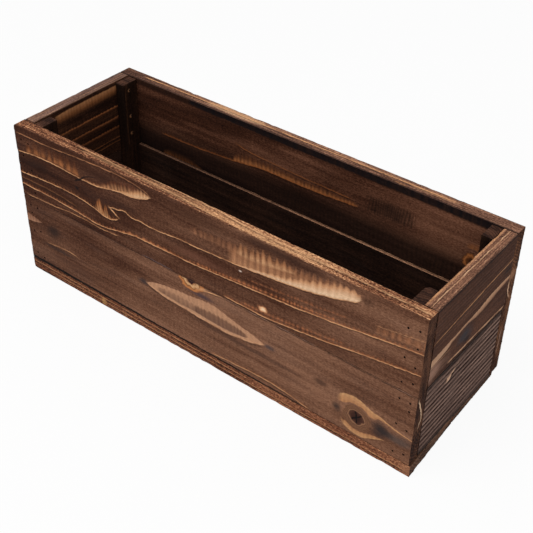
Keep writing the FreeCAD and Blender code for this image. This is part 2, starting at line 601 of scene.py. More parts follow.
@dataclass(frozen=True)
class Knot:
    """A knot: rings round a dark cracked core.

    Attributes:
        centre: Its place along and across the grain.
        radii: Its outer radii along and across the grain.
        rings: Colours from the core, at 0, to the rim, at 1.
        cracks: The slopes of the cracks through its core, as angles in degrees.
        warp: How uneven the rings are.
    """

    centre: tuple[float, float]
    radii: tuple[float, float]
    rings: Sequence[tuple[float, Shade]]
    cracks: Sequence[float] = ()
    warp: float = 0.25

    def over(self, g: Graph, colour: Socket, figure: Figure) -> Socket:
        """Lays the knot over a colour."""
        du, dv, radius = g.oval(self.centre, self.radii)
        swirl = g.noise(SWIRL, 2, self.centre[0])
        radius = radius + (swirl - 0.5) * self.warp
        share = radius.fall(0.9, 1.08)
        colour = g.mix(share, colour, g.ramp(radius, self.rings))
        for angle in self.cracks:
            turn = math.radians(angle)
            off = abs(dv * math.cos(turn) - du * math.sin(turn) + (swirl - 0.5) * 0.16)
            crack = off.fall(0.02, 0.085) * radius.fall(0.4, 0.62)
            colour = g.mix(crack, colour, CRACK)
        return colour


@dataclass(frozen=True)
class Smudge:
    """A soft blot of soot or smoke.

    Attributes:
        centre: Its place along and across the grain.
        radii: Its radii along and across the grain.
        shade: Its colour.
        strength: How much of it shows at the middle.
    """

    centre: tuple[float, float]
    radii: tuple[float, float]
    shade: Shade = (48, 38, 36)
    strength: float = 0.7

    def over(self, g: Graph, colour: Socket, figure: Figure) -> Socket:
        """Lays the blot over a colour."""
        radius = g.oval(self.centre, self.radii)[2] + (figure.patch - 0.5) * 0.8
        return g.mix(radius.fall(0.1, 1) * self.strength, colour, self.shade)


@dataclass(frozen=True)
class Ribs:
    """Even lines along the grain: painted shade in grooves, painted light on the ridges between.

    Attributes:
        first: The height of one groove.
        pitch: The spacing of the grooves.
        groove: The painted shade in a groove.
        ridge: The painted light on a ridge.
        foot: The heights between which the lines come in.
        head: The heights between which they go out again.
        strength: How much of the colours shows.
    """

    first: float
    pitch: float
    groove: Shade
    ridge: Shade
    foot: tuple[float, float]
    head: tuple[float, float] = (300.0, 301.0)
    strength: float = 0.9

    def over(self, g: Graph, colour: Socket, figure: Figure) -> Socket:
        """Lays the lines over a colour."""
        turn = math.tau / self.pitch
        wave = ((g.v - self.first) * turn + (figure.patch - 0.5) * 1.6 - math.pi / 2).wave()
        shows = g.v.rise(*self.foot) * g.v.fall(*self.head) * figure.lit * self.strength
        torn = g.noise(TORN_RIDGE, 2, self.first).rise(0.34, 0.62) * 0.75 + 0.25
        colour = g.mix(wave.fall(-0.9, 0.1) * shows, colour, self.groove)
        return g.mix(wave.rise(0.1, 0.9) * shows * torn, colour, self.ridge)


@dataclass(frozen=True)
class WildGrain:
    """Pale lines with their glow at random, where no line is drawn.

    Attributes:
        spacing: The usual distance between two lines.
        drift: How far a line wanders across the grain.
        share: How much of the lines' length shows, from 0 to 1.
        glow: How far the glow reaches above a line.
        strength: How much of the pale colour shows.
        shade: The pale colour.
        ember: The colour of the glow.
    """

    spacing: float = 17.0
    drift: float = 26.0
    share: float = 0.5
    glow: float = 9.0
    strength: float = 0.85
    shade: Shade = (218, 162, 116)
    ember: Shade = (150, 98, 64)

    def over(
        self, g: Graph, colour: Socket, figure: Figure, seed: float
    ) -> tuple[Socket, Signal]:
        """Lays the lines over a colour and returns the colour and the raised part."""
        bend = g.noise(BEND, 1, seed)
        level = (g.v + bend * self.drift) / self.spacing
        above = level.fraction() * self.spacing
        spot = g.node(
            "ShaderNodeCombineXYZ", {}, {0: g.u / 110.0 + seed, 1: level.whole() * 3.7}
        )
        choice = g.node(
            "ShaderNodeTexNoise",
            {"noise_dimensions": "2D"},
            {"Vector": spot.outputs[0], "Scale": 1.0, "Detail": 1.0},
        )
        shows = Signal(g, choice.outputs[0]).rise(0.62 - 0.3 * self.share, 0.72 - 0.3 * self.share)
        core = above.rise(0.0, 0.3) * above.fall(0.5, 1.3)
        tail, share = g.fade(
            above.between(0.0, (1.1 - figure.gaps(BAR_PITCH)) * self.glow),
            ((0.0, self.ember, 0.0), (0.1, self.ember, 0.9), (0.5, self.ember, 0.5),
             (1.0, self.ember, 0.0)),
        )
        raised = core * shows
        colour = g.mix(share * shows * self.strength, colour, tail)
        return g.mix(raised * figure.lit * self.strength, colour, self.shade), raised


# ---------------------------------------------------------------------------
# Finishes
# ---------------------------------------------------------------------------

Mark = Union[Flame, Knot, Smudge, PaleLine, Ribs]


@dataclass(frozen=True)
class BurntWood:
    """Softwood that was charred and then brushed along its grain.

    Attributes:
        name: The material's name.
        lay: How the wood of the face lies.
        seed: Moves the random patterns.
        shades: The colours of the surface, from the deepest char to the barest wood.
        tone_line: How the tone changes along the grain, as places and shifts.
        smoke: How much cool grey smoke lies on it.
        grain: How strong the fine grain is.
        hair: How strong the long hairs of the grain are.
        fibre: The depth of the fine fibres.
        wild: The random pale lines, if any.
        marks: The drawn marks, from the bottom one up.
        gloss: The specular level.
    """

    name: str
    lay: Lay
    seed: float = 0.0
    shades: tuple[Shade, Shade, Shade, Shade] = (
        (43, 22, 15), (70, 40, 27), (104, 69, 51), (146, 104, 80)
    )
    tone_line: Points = ()
    smoke: float = 0.12
    grain: float = 1.0
    hair: float = 1.0
    fibre: float = 0.1
    wild: WildGrain | None = None
    marks: Sequence[Mark] = ()
    gloss: float = 0.06

    def build(self) -> bpy.types.Material:
        """The material, made from the marks in their order."""
        g = Graph(self.name, self.lay)
        figure = Figure(g, self.seed)
        bands = g.noise(BAND, 2, self.seed + 1.3)
        field_tone = g.noise(FIELD, 2, self.seed + 4.1)
        hairs = g.noise(HAIR, 2, self.seed + 7.7)
        specks = g.noise(SPECK, 3, self.seed + 9.2, 0.7)
        fine = (hairs - 0.5) * (0.14 * self.hair) + (specks - 0.5) * (0.5 * self.grain)
        tone = bands * 0.3 + field_tone * 0.45 + 0.13 + figure.gaps(BAR_PITCH) * -0.03
        tone = fine + tone
        if self.tone_line:
            tone = tone + g.line([(u, shift * 100.0) for u, shift in self.tone_line]) / 100.0
        colour = g.ramp(tone, list(zip(TONE_STOPS, self.shades)))
        haze = g.noise(HAZE, 2, self.seed + 8.8).rise(0.5, 0.7) * self.smoke
        colour = g.mix(haze, colour, SMOKE)

        raised: Number = 0.0
        if self.wild:
            colour, raised = self.wild.over(g, colour, figure, self.seed + 12.0)
        for mark in self.marks:
            made = mark.over(g, colour, figure)
            if isinstance(made, tuple):
                colour, core = made
                raised = core + raised
            else:
                colour = made

        grit = fine * 1.3 + 1.0
        scale = g.node(
            "ShaderNodeVectorMath", {"operation": "SCALE"}, {0: colour, "Scale": grit}
        )
        height = specks * (self.fibre * 0.6) + hairs * (self.fibre * 1.4) + raised * 0.2
        g.finish(scale.outputs[0], 0.86 - tone * 0.15, height, self.gloss)
        return g.material


@dataclass(frozen=True)
class EndGrain:
    """Sawn and charred end grain: arcs of the rings, checks and loose fibres.

    Attributes:
        name: The material's name.
        lay: How the wood of the face lies.
        seed: Moves the random patterns.
        dark: The colour of the char.
        light: The colour of the wood that shows through.
        pith: Where the rings' centre is, along the lay's first two axes.
        marks: The drawn marks.
    """

    name: str
    lay: Lay
    seed: float = 0.0
    dark: Shade = (58, 38, 30)
    light: Shade = (112, 78, 58)
    pith: tuple[float, float] = (40.0, 30.0)
    marks: Sequence[Mark] = ()

    def build(self) -> bpy.types.Material:
        """The material."""
        g = Graph(self.name, self.lay)
        figure = Figure(g, self.seed)
        radius = g.oval(self.pith)[2] + g.noise(RING_WARP, 2, self.seed) * 6
        ring = (radius / RING_PITCH).fraction()
        fibres = g.noise(END_FIBRE, 2, self.seed + 3.0)
        blots = g.noise(END_BLOT, 3, self.seed + 5.0)
        tone = ring * 0.2 + fibres * 0.55 + blots * 0.75 - 0.25
        colour = g.ramp(tone, [(0.25, CHAR), (0.45, self.dark), (0.72, self.light)])
        checks = g.noise(END_CHECK, 2, self.seed + 8.0).fall(0.27, 0.33)
        colour = g.mix(checks * 0.8, colour, CHECK)
        for mark in self.marks:
            made = mark.over(g, colour, figure)
            colour = made[0] if isinstance(made, tuple) else made
        g.finish(colour, 0.9, fibres * 0.3 + ring * 0.1 - checks * 0.4, 0.06)
        return g.material


@dataclass(frozen=True)
class Steel:
    """Bright or burnt wire steel.

    Attributes:
        name: The material's name.
        dull: The colour of the tarnish.
        bare: The colour of the bare metal.
        tarnish: How much of it is tarnished.
    """

    name: str
    dull: Shade
    bare: Shade
    tarnish: float

    def build(self) -> bpy.types.Material:
        """The material."""
        g = Graph(self.name, Lay.FRONT)
        blots = g.noise(TARNISH, 3)
        share = blots.rise(0.35 + 0.3 * (1 - self.tarnish), 0.6 + 0.3 * (1 - self.tarnish))
        colour = g.mix(share, self.bare, self.dull)
        g.finish(colour, share * 0.4 + 0.35, blots * 0.05, 0.5, 1)
        return g.material


# ---------------------------------------------------------------------------
# Modelling
# ---------------------------------------------------------------------------


RING_SIZE = (150, 3.2)  # the brushed rings, along and across the grain
FIBRE_SIZE = (11, 1.3)
CHIP_SIZE = 6.5
CHIP_REACH = 2.4  # how far from an arris its chips reach
SMOOTH_ANGLE = 45
CORNER_ANGLE = 1.0  # radians: what is sharper is an arris of the board


class Side(Enum):
    """The six sides of a board, as an axis and a direction."""

    LEFT = (0, -1)
    RIGHT = (0, 1)
    FRONT = (1, -1)
    BACK = (1, 1)
    UNDER = (2, -1)
    TOP = (2, 1)


@dataclass(frozen=True)
class Hole:
    """A hole where a brad's head was driven below a face.

    Attributes:
        place: Its mouth, in millimetres.
        axis: The axis it is driven along.
        radius: Its radius.
        depth: How deep it goes from the mouth, on both sides of it.
    """

    place: tuple[float, float, float]
    axis: int
    radius: float = 1.0
    depth: float = 1.95

    def cut(self) -> None:
        """Adds the cylinder that cuts it."""
        turn = {0: (0, math.pi / 2, 0), 1: (math.pi / 2, 0, 0), 2: (0, 0, 0)}[self.axis]
        bpy.ops.mesh.primitive_cylinder_add(
            vertices=12,
            radius=self.radius * MM,
            depth=2 * self.depth * MM,
            location=Vector(self.place) * MM,
            rotation=turn,
        )


@dataclass(frozen=True)
class Notch:
    """A block that is cut out of a board.

    Attributes:
        low: Its lowest corner, in millimetres.
        high: Its highest corner.
    """

    low: tuple[float, float, float]
    high: tuple[float, float, float]

    def cut(self) -> None:
        """Adds the block that cuts it."""
        low, high = Vector(self.low) * MM, Vector(self.high) * MM
        bpy.ops.mesh.primitive_cube_add(size=1.0, location=(low + high) / 2, scale=high - low)


@dataclass(frozen=True)
class Trim:
    """A plane that takes a corner off a board.

    Attributes:
        through: A point of the plane, in millimetres.
        outward: The direction of the side that is taken off.
    """

    through: tuple[float, float, float]
    outward: tuple[float, float, float]


@dataclass(frozen=True)
class Wear:
    """What brushing, sawing and handling took off a board, in millimetres.

    Attributes:
        rings: The depth brushed out between the rings.
        fuzz: The depth of the fine fibres.
        chips: The depth of the chips along the arrises.
        ends: The roughness of the sawn ends.
        deepest: More than the deepest place anywhere.
        grooves: Scored lines as their side, first height, spacing, width and depth.
    """

    rings: float = 0.22
    fuzz: float = 0.12
    chips: float = 0.7
    ends: float = 0.9
    deepest: float = 2.4
    grooves: tuple[Side, float, float, float, float] | None = None

    def depth(
        self, place: Vector, normal: Vector, low: Vector, high: Vector, grain: int, seed: float
    ) -> float:
        """The depth taken off at one place.

        Args:
            place: The place, in millimetres.
            normal: Its outward direction.
            low: The board's lowest corner.
            high: The board's highest corner.
            grain: The axis that the grain runs along.
            seed: Moves the random patterns.

        Returns:
            The depth, from 0.
        """
        stretch, fine = (
            Vector([1 / (along if axis == grain else across) for axis in range(3)])
            for along, across in (RING_SIZE, FIBRE_SIZE)
        )
        shift = Vector((seed, seed * 1.3, seed * 0.7))
        to_faces = sorted(
            min(place[axis] - low[axis], high[axis] - place[axis]) for axis in range(3)
        )
        near_arris = max(0.0, 1.0 - to_faces[1] / CHIP_REACH)
        chip = max(0.0, noise.noise(place / CHIP_SIZE + shift) - 0.12) * 1.7
        taken = near_arris * chip * self.chips
        if abs(normal[grain]) > 0.6:
            rough = noise.noise(place / 2.2 + shift) + 0.6 * noise.noise(place / 5.5 + shift)
            return min(self.deepest, taken * 0.5 + self.ends * max(0.0, 0.5 + 0.45 * rough))
        rings = noise.noise(place * stretch + shift)
        fuzz = noise.noise(place * fine + shift)
        taken += self.rings * (0.5 + 0.5 * rings) + self.fuzz * (0.5 + 0.5 * fuzz)
        if self.grooves:
            taken += self._groove(place, normal, seed)
        return min(self.deepest, max(0.0, taken))

    def _groove(self, place: Vector, normal: Vector, seed: float) -> float:
        """The depth of the scored lines at one place."""
        side, first, pitch, width, depth = self.grooves
        axis, way = side.value
        if normal[axis] * way < 0.6:
            return 0.0
        waver = 0.35 * noise.noise(Vector((place.y / 30.0, place.z / 9.0, seed)))
        off = (place.z + waver - first) / pitch
        away = abs(off - round(off)) * pitch
        faded = 0.55 + 0.45 * noise.noise(Vector((place.y / 26.0, place.z / 16.0, seed + 4)))
        return depth * max(0.0, 1.0 - away / (width / 2)) * min(1.0, faded + 0.3)


Finish = Union[BurntWood, EndGrain, Steel]


class Rack:
    """The finishes already mixed, so that pieces share them."""

    def __init__(self) -> None:
        """Starts with none."""
        self.mixed: dict[str, bpy.types.Material] = {}

    def get(self, finish: Finish) -> bpy.types.Material:
        """The material of a finish, built when it is first asked for."""
        if finish.name not in self.mixed:
            self.mixed[finish.name] = finish.build()
        return self.mixed[finish.name]


@dataclass
class Board:
    """One board or post, modelled where its CAD node is.

    Attributes:
        node: The CAD node that it replaces, whose name it takes.
        slot: The record's material slot, which is not used.
        grain: The axis that its grain runs along.
        finishes: The finish of each side, and of any side that isn't named.
        step: The spacing of its mesh along each axis, in millimetres.
        arris: How far its arrises are eased.
        wear: What is taken off it.
        seed: Moves the random patterns.
        skew: How far its right end falls back from front to back.
        flare: How far its front right corner stands out.
        trims: Planes that take corners off.
        cuts: Holes and notches.
    """

    node: str
    slot: str
    grain: int
    finishes: dict[Side | None, Finish]
    step: tuple[float, float, float]
    arris: float = 0.55
    wear: Wear = field(default_factory=Wear)
    seed: float = 0.0
    skew: float = 0.0
    flare: float = 0.0
    trims: Sequence[Trim] = ()
    cuts: Sequence[Hole | Notch] = ()

    def build(self, rack: Rack) -> bpy.types.Object:
        """Models, dresses and places the board.

        Args:
            rack: The finishes that pieces share.

        Returns:
            The finished piece.
        """
        low, high = (Vector(corner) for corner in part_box(self.node))
        piece = self._blank(low, high)
        self._wear_down(piece, low / MM, high / MM)
        self._dress(piece, rack)
        self._cut(piece, rack)
        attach(piece, BODY)
        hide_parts(self.node)
        LOG.info("%s: %d faces", piece.name, len(piece.data.polygons))
        return piece

    def _blank(self, low: Vector, high: Vector) -> bpy.types.Object:
        """The sawn board, with a mesh fine enough to wear down."""
        bpy.ops.object.select_all(action="DESELECT")
        bpy.ops.mesh.primitive_cube_add(size=1.0, location=(low + high) / 2, scale=high - low)
        piece = bpy.context.object
        piece.name = f"{self.node}_worn"
        piece.data.name = piece.name
        bpy.ops.object.transform_apply(location=True, rotation=True, scale=True)
        bpy.ops.object.mode_set(mode="EDIT")
        for shift, y in ((self.flare, low.y), (-self.skew, high.y)):
            if shift:
                choose(piece, "verts", lambda v, y=y: v.co.x > 0 and abs(v.co.y - y) < MM)
                bpy.ops.transform.translate(value=(shift * MM, 0, 0))
        size = (high - low) / MM
        for axis in range(3):
            cuts = round(size[axis] / self.step[axis]) - 1
            if cuts > 0:
                choose(piece, "edges", lambda e, a=axis: runs_along(e, a))
                bpy.ops.mesh.subdivide(number_cuts=cuts)
        choose(piece, "edges", lambda e: e.calc_face_angle(0.0) > CORNER_ANGLE)
        bpy.ops.mesh.bevel(offset=self.arris * MM, segments=2, affect="EDGES")
        for trim in self.trims:
            bpy.ops.mesh.select_all(action="SELECT")
            bpy.ops.mesh.bisect(
                plane_co=Vector(trim.through) * MM,
                plane_no=Vector(trim.outward),
                use_fill=True,
                clear_outer=True,
            )
        bpy.ops.object.mode_set(mode="OBJECT")
        return piece

    def _wear_down(self, piece: bpy.types.Object, low: Vector, high: Vector) -> None:
        """Takes the wear off every face of the board."""
        group = piece.vertex_groups.new(name="wear")
        for vertex in piece.data.vertices:
            depth = self.wear.depth(
                vertex.co / MM, vertex.normal, low, high, self.grain, self.seed
            )
            group.add([vertex.index], depth / self.wear.deepest, "REPLACE")
        worn = piece.modifiers.new("wear", "DISPLACE")
        worn.vertex_group = group.name
        worn.direction = "NORMAL"
        worn.mid_level = 0.0
        worn.strength = -self.wear.deepest * MM
        bpy.ops.object.modifier_apply(modifier=worn.name)
        piece.vertex_groups.clear()
        bpy.ops.object.shade_smooth_by_angle(angle=math.radians(SMOOTH_ANGLE))

    def _dress(self, piece: bpy.types.Object, rack: Rack) -> None:
        """Gives each side its finish, in a slot that sides with one finish share."""
        plain = self.finishes[None]
        slots: dict[str, int] = {}
        for finish in self.finishes.values():
            if finish.name not in slots:
                slots[finish.name] = len(slots)
                piece.data.materials.append(rack.get(finish))
        for polygon in piece.data.polygons:
            axis = max(range(3), key=lambda a: abs(polygon.normal[a]))
            side = Side((axis, 1 if polygon.normal[axis] > 0 else -1))
            polygon.material_index = slots[self.finishes.get(side, plain).name]

    def _cut(self, piece: bpy.types.Object, rack: Rack) -> None:
        """Cuts the holes and notches out of the board."""
        for kind in (Notch, Hole):
            cuts = [cut for cut in self.cuts if isinstance(cut, kind)]
            if not cuts:
                continue
            cutters = []
            for cut in cuts:
                bpy.ops.object.select_all(action="DESELECT")
                cut.cut()
                cutters.append(bpy.context.object)
            for cutter in cutters:
                cutter.select_set(True)
            bpy.context.view_layer.objects.active = cutters[0]
            bpy.ops.object.join()
            cutter = bpy.context.object
            cutter.data.materials.append(rack.get(SOOT))
            bpy.ops.object.select_all(action="DESELECT")
            piece.select_set(True)
            bpy.context.view_layer.objects.active = piece
            taken = piece.modifiers.new("cut", "BOOLEAN")
            taken.operation = "DIFFERENCE"
            taken.solver = "EXACT"
            taken.material_mode = "TRANSFER"
            taken.object = cutter
            bpy.ops.object.modifier_apply(modifier=taken.name)
            bpy.data.objects.remove(cutter, do_unlink=True)


def choose(piece: bpy.types.Object, kind: str, test: Callable) -> None:
    """Selects only what passes a test, in edit mode.

    Args:
        piece: The piece in edit mode.
        kind: "verts", "edges" or "faces".
        test: Whether one of them is wanted.
    """
    bpy.ops.mesh.select_mode(type={"verts": "VERT", "edges": "EDGE", "faces": "FACE"}[kind])
    bpy.ops.mesh.select_all(action="DESELECT")
    mesh = bmesh.from_edit_mesh(piece.data)
    for element in getattr(mesh, kind):
        if test(element):
            element.select_set(True)
    bmesh.update_edit_mesh(piece.data)


def runs_along(edge: bmesh.types.BMEdge, axis: int) -> bool:
    """Whether an edge runs along an axis."""
    run = edge.verts[1].co - edge.verts[0].co
    return abs(run[axis]) > 0.98 * run.length


# ---------------------------------------------------------------------------
# The planter's own finishes
# ---------------------------------------------------------------------------

SOOT = EndGrain("soot", Lay.END, 3, (14, 10, 9), (22, 15, 13))
# Near black: painted shade in the gaps between boards and along the bottom's lower edge.
GAP_SHADE = (16, 12, 11)
SEAM = (40, 34, 36)
INSIDE_SHADES = ((20, 13, 11), (40, 26, 20), (66, 43, 33), (98, 66, 48))
INSIDE_GRAIN = WildGrain(share=0.4, strength=0.5, shade=(160, 104, 66), ember=(96, 58, 36))
FRONT_UPPER_FACE = BurntWood(
    "front_upper_face", Lay.FRONT, seed=2, smoke=0.06,
    tone_line=((-226, -0.11), (-100, -0.06), (-40, 0), (110, 0.05), (170, 0.13), (226, 0.1)),
    marks=(
        Smudge((-195, 134), (24, 7), (44, 27, 21), 0.6),
        Smudge((-110, 156), (44, 8), (58, 34, 25), 0.7),
        Smudge((-145, 129), (4, 3), (30, 22, 22), 0.8),
        Smudge((-85, 134), (22, 6), (56, 34, 26), 0.6),
        Smudge((0, 158), (60, 9), (72, 44, 31), 0.6),
        Smudge((90, 163), (70, 6), (58, 36, 28), 0.8),
        Smudge((-172, 108), (56, 7), (54, 30, 20), 0.85),
        Smudge((-2, 118), (46, 7), (108, 68, 52), 0.6),
        # The left flame: broad bars that die out upwards.
        Flame(
            ((-212, 140.6), (-197, 142.4), (-182, 143.2), (-166, 143), (-150, 142), (-138, 141.4)),
            ((-212, 146), (-200, 159), (-182, 159.8), (-166, 160.8), (-150, 161.4), (-138, 147)),
            (184, 116, 70), (100, 56, 33), strength=0.86, licks=7, streaks=1, soft=(4, 8),
            pitch=8.6),
        Flame(((-140, 141.4), (-120, 141.8), (-109, 143.5), (-94, 146.4), (-80, 148.3),
             (-66, 150.4), (-51, 157)),
            ((-140, 144), (-120, 146), (-109, 150), (-94, 160), (-80, 163.4), (-66, 162.6),
             (-51, 158)), (210, 150, 104), (104, 60, 40), strength=0.95, licks=3, streaks=0.85,
            soft=(0.8, 5), pitch=4.4),
        # Its palest tip.
        Flame(((-100, 145.6), (-80, 148.3), (-71, 149.1), (-63, 151.2), (-57, 153.8), (-51, 157)),
            ((-100, 146.2), (-80, 153), (-71, 158), (-63, 162.2), (-57, 161.4), (-51, 158.6)),
            (242, 200, 156), (214, 156, 110), strength=0.95, licks=3, streaks=0.5,
            soft=(0.6, 4.5)),
        Flame(((-6, 141), (20, 141.5), (44, 142)), ((-6, 149.5), (20, 151.5), (44, 154)),
            (158, 108, 78), (134, 88, 62), strength=0.85, licks=2.5, streaks=1, soft=(3, 3),
            pitch=6.2),
        # The big patch: brown body, feathered from above.
        Flame(((36, 131.4), (62, 133.6), (92, 137), (123, 141.6), (150, 148.6), (166, 156)),
            ((36, 150), (62, 159), (92, 161), (123, 163.4), (150, 166.4), (166, 163)),
            (198, 142, 102), (156, 104, 72), licks=9, streaks=0.6, soft=(1, 7), pitch=6.2),
        Flame(((44, 143), (58, 142), (80, 145), (104, 150)),
            ((44, 150), (58, 160), (80, 160.6), (104, 157)), (222, 168, 122), (170, 114, 76),
            strength=0.8, licks=8, streaks=0.85, soft=(4, 6), pitch=6.2),
        # Its palest band along the lower edge, out to the tip.
        Flame(((44, 131.6), (62, 133.2), (77, 135), (92, 136.9), (108, 139), (123, 141.5),
             (132, 143.5), (142, 145.8), (151, 148.9), (159, 151), (166, 156)),
            ((44, 133), (62, 136.4), (77, 140), (92, 144), (108, 150), (123, 156), (132, 159),
             (142, 163), (151, 165.6), (159, 166), (166, 160)), (250, 214, 176), (208, 152, 110),
            strength=0.97, licks=5.5, streaks=0.22, soft=(0.7, 5), pitch=6.2),
        Flame(((181, 139.3), (200, 142), (226, 146.2)), ((181, 141), (200, 144.6), (226, 149.6)),
            (206, 152, 110), (150, 100, 70), strength=0.7, licks=2, streaks=0.6),
        Flame(((182, 131), (200, 134), (226, 137)), ((182, 140), (200, 143), (226, 147)),
            (172, 116, 82), (156, 102, 70), strength=0.75, licks=2, streaks=1, soft=(3, 2),
            pitch=6.6),
        Flame(((56, 121.4), (92, 124.6), (123, 128), (156, 132.6)),
            ((56, 124), (92, 128.4), (123, 132), (156, 135.6)), (176, 108, 70), (140, 86, 58),
            strength=0.7, licks=1.5, streaks=1),
        # The two feathers of the swirl.
        Flame(((-123, 115.4), (-116, 113.2), (-110, 112.4)),
            ((-123, 116), (-118.6, 128), (-115.6, 130.5), (-113, 120), (-110, 113)),
            (222, 162, 112), (180, 110, 64), streaks=0.8, soft=(0.6, 5), pitch=2.6),
        Flame(((-113, 112.4), (-105, 112.4), (-99, 114)),
            ((-113, 113), (-110.6, 124), (-108.6, 127), (-105.6, 118), (-99, 114.6)),
            (226, 168, 118), (180, 110, 64), streaks=0.8, soft=(0.6, 5), pitch=2.6),
        PaleLine(((-222, 159.5), (-197, 159.8), (-182, 159.8), (-166, 160.8), (-151, 162),
             (-136, 163.1), (-120, 164.2), (-105, 164.9), (-90, 165.1), (-77, 164.3), (-66, 162.9),
             (-59, 161.5), (-52, 158.9)), strength=0.6, thick=0.9, glow=2, heat=0,
            shade=(206, 142, 98)),
        PaleLine(((-226, 138.8), (-209, 141.1), (-197, 142.3), (-182, 143.1), (-166, 142.8),
             (-154, 142), (-142, 141.5), (-130, 141.4), (-120, 141.8), (-109, 143.5), (-99, 145.8),
             (-89, 147.7), (-80, 148.3), (-71, 149.1), (-63, 151.2), (-57, 153.8), (-51, 157)),
            glow=2.5, heat=0.5),
        PaleLine(((-226, 115.6), (-208, 116.9), (-194, 118), (-179, 118.8), (-163, 119.2),
             (-151, 119.1), (-140, 118.5), (-130, 116.9), (-120, 114.6), (-113, 112.5),
             (-105, 112.2), (-99, 113.8), (-92, 118)), glow=3.5),
        PaleLine(((-105, 125.6), (-100, 122.8), (-96, 120), (-91, 117.2)), thick=1.7, glow=2),
        PaleLine(((-105, 124.4), (-99, 126.3), (-93, 126.9), (-85, 129), (-80, 126.9),
             (-73, 125.7), (-65, 126.5), (-59, 125.7), (-51, 125.4), (-42, 125.8), (-33, 126.9),
             (-20, 128), (0, 128.7), (15, 129.7), (31, 130.6), (46, 131.8), (62, 133.1),
             (77, 134.9), (92, 136.8), (108, 138.9), (123, 141.4), (132, 143.4), (142, 145.7),
             (151, 148.8), (159, 150.9), (166, 156)), glow=3, heat=0.5),
        PaleLine(((-226, 102.8), (-205, 102.6), (-182, 102.2), (-163, 101.7), (-148, 100.8),
             (-133, 99.5), (-120, 98.9), (-111, 99.5), (-102, 101.5), (-89, 103.8), (-80, 105.7),
             (-71, 106.9), (-59, 107.4), (-43, 107.7), (-28, 108), (0, 109), (15, 110.3),
             (31, 111.5), (46, 112.6), (61, 113.7), (77, 114.9), (92, 116.3), (108, 117.7),
             (123, 119.5), (138, 121.2), (154, 123.4), (169, 125.8), (185, 128.2), (200, 130.3),
             (215, 132), (226, 133.3)), strength=0.85, glow=3.6, heat=0.65, ember=(166, 98, 60)),
        Flame(((-4, 110.6), (31, 113), (77, 117.4), (108, 120.4), (146, 125)),
            ((-4, 113.6), (31, 116.6), (77, 121.4), (108, 124.2), (146, 128.4)), (204, 126, 80),
            (154, 94, 62), licks=1.5, streaks=1),
        Flame(((50, 93.6), (77, 94.6), (108, 98), (154, 105)),
            ((50, 97.6), (77, 99), (108, 102.6), (154, 108.6)), (186, 114, 74), (140, 88, 60),
            strength=0.75, licks=1.5, streaks=1),
        PaleLine(((30, 91.2), (46, 90.9), (66, 90.8), (80, 91.1), (92, 92.6), (108, 94.6),
             (123, 96.5), (138, 98.2), (154, 101.5), (169, 103.8), (185, 106.3), (200, 108.5),
             (215, 110.8), (226, 112)), strength=0.85, glow=3.5, heat=0.65, ember=(166, 98, 60)),
        PaleLine(((-226, 109.4), (-205, 110.2), (-180, 110), (-160, 108.4), (-146, 105.6)),
            strength=0.2, thick=0.9, glow=2.5, heat=0.2, shade=(180, 124, 84)),
        # Broad beads above the middle line.
        Flame(((-92, 103.6), (-71, 107.2), (-50, 108), (-28, 108.4)),
            ((-92, 106.6), (-71, 111.4), (-50, 112), (-28, 111)), (214, 140, 90), (150, 92, 60),
            strength=0.8, licks=3, streaks=1, soft=(0.6, 1.6), pitch=9),
        Smudge((172, 158), (8, 7), (66, 42, 31), 0.55),
        Knot((-7, 88), (6, 3.4), ((0, (30, 20, 18)), (0.6, (52, 33, 27)), (1, (84, 54, 42)))),
        Knot((73, 98.6), (6.4, 3.8),
            ((0, (250, 214, 176)), (0.45, (232, 178, 132)), (0.75, (170, 112, 76)), (1,
             (108, 70, 52))), warp=1.5),
        Smudge((48.5, 127), (2.6, 1.3), (240, 214, 196), 0.95),
        PaleLine(((-219, 92), (-195, 92.8), (-170, 94.6), (-148, 96.2), (-122, 95.6), (-94, 97.4)),
            strength=0.5, glow=2, heat=0.5),
        PaleLine(((-66, 90), (-50, 90.2), (-28, 89.8)), strength=0.6, thick=0.6, heat=0,
            shade=(112, 100, 106)),
        Flame(((-148, 135), (-140, 138.6), (-131, 146), (-118, 150.8)),
            ((-148, 136.2), (-140, 142.2), (-131, 147.6), (-118, 151.4)), (24, 17, 17),
            (24, 17, 17), streaks=0, soft=(1, 1)),
        band((-226, 226), (88, 87.6), (90, 89.6), SEAM, strength=0.3, streaks=0, soft=(0.8, 0.8)),
    ),
)

